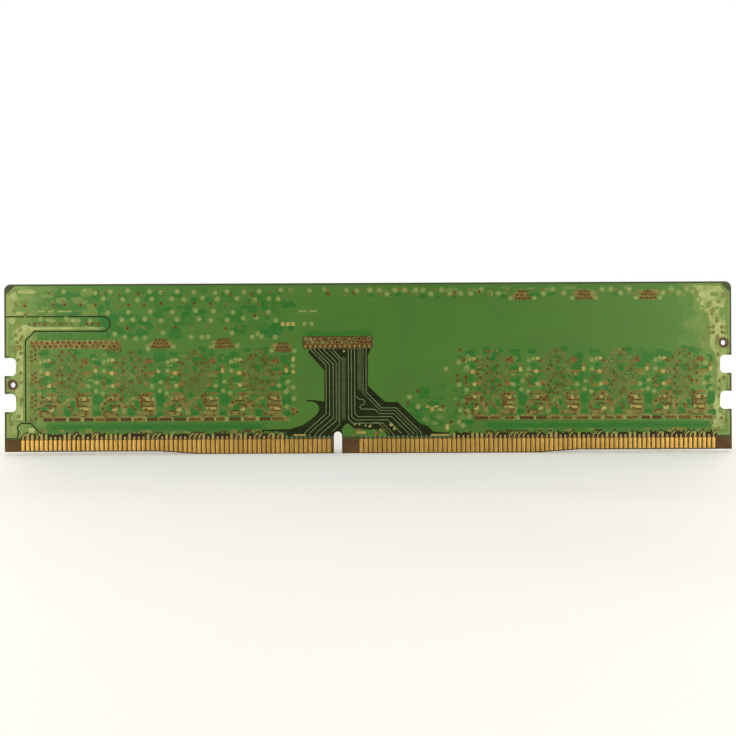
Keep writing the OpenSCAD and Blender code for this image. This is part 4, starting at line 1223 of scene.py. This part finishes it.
def softbox(name, place, aim, w, h, power, colour=(1, 1, 1)):
    light = bpy.data.lights.new(name, "AREA")
    light.shape = "RECTANGLE"
    light.size, light.size_y = w, h
    light.energy = power
    light.color = colour
    made = bpy.data.objects.new(name, light)
    bpy.context.scene.collection.objects.link(made)
    made.location = place
    made.rotation_euler = (Vector(aim) - Vector(place)).to_track_quat("-Z", "Y").to_euler()


# Two warm boxes either side of the camera, which the ends of the board mirror, and their like at
# the front: how far out, away and up each stands
BOX_OUT, BOX_AWAY, BOX_UP = 0.285, 0.5, 0.06
for side, facing in ((BACK, "back"), (FRONT, "front")):
    for end, hand in ((-1, "left"), (1, "right")):
        softbox("box_%s_%s" % (facing, hand), (end * BOX_OUT, side * BOX_AWAY, BOX_UP),
                (end * 0.03, 0, centre.z), 0.26, 0.3, 1.85, (1, 0.93, 0.74))
softbox("top_light", (0, -0.1, 0.8), centre, 0.8, 0.6, 5)

world = bpy.data.worlds.new("studio")
bpy.context.scene.world = world
world.use_nodes = True
tree = world.node_tree
ray = tree.nodes.new("ShaderNodeLightPath")


def sky(strength, colour):
    made = tree.nodes.new("ShaderNodeBackground")
    made.inputs["Color"].default_value = colour
    made.inputs["Strength"].default_value = strength
    return made.outputs[0]


def choose(kind, first, second):
    """The second sky for rays of this kind, the first for all others."""
    mix = tree.nodes.new("ShaderNodeMixShader")
    tree.links.new(ray.outputs[kind], mix.inputs[0])
    tree.links.new(first, mix.inputs[1])
    tree.links.new(second, mix.inputs[2])
    return mix.outputs[0]


# A soft room: white to look at, even on matt surfaces, and dim in reflections as behind a camera
room = choose("Is Glossy Ray", sky(0.55, (0.96, 0.97, 1, 1)), sky(0.14, (1, 0.96, 0.88, 1)))
tree.links.new(choose("Is Camera Ray", room, sky(1.0, WHITE)), tree.nodes["World Output"].inputs["Surface"])

# The camera looks straight at the back; the board spans all but a few columns of the frame
DISTANCE = 0.32
FRAME_PART = 727.2 / 736
SENSOR = 36
ROLL = -0.26
camera_data = bpy.data.cameras.new("camera")
camera_data.sensor_width = SENSOR
camera_data.lens = SENSOR * DISTANCE * FRAME_PART / (high.x - low.x)
camera_data.clip_start = 0.01
camera = bpy.data.objects.new("camera", camera_data)
bpy.context.scene.collection.objects.link(camera)
camera.matrix_world = Matrix.Translation((centre.x, low.y - DISTANCE, centre.z)) \
    @ Matrix.Rotation(math.radians(90), 4, "X") @ Matrix.Rotation(math.radians(ROLL), 4, "Z")
bpy.context.scene.camera = camera
bpy.context.scene.view_settings.view_transform = "Standard"
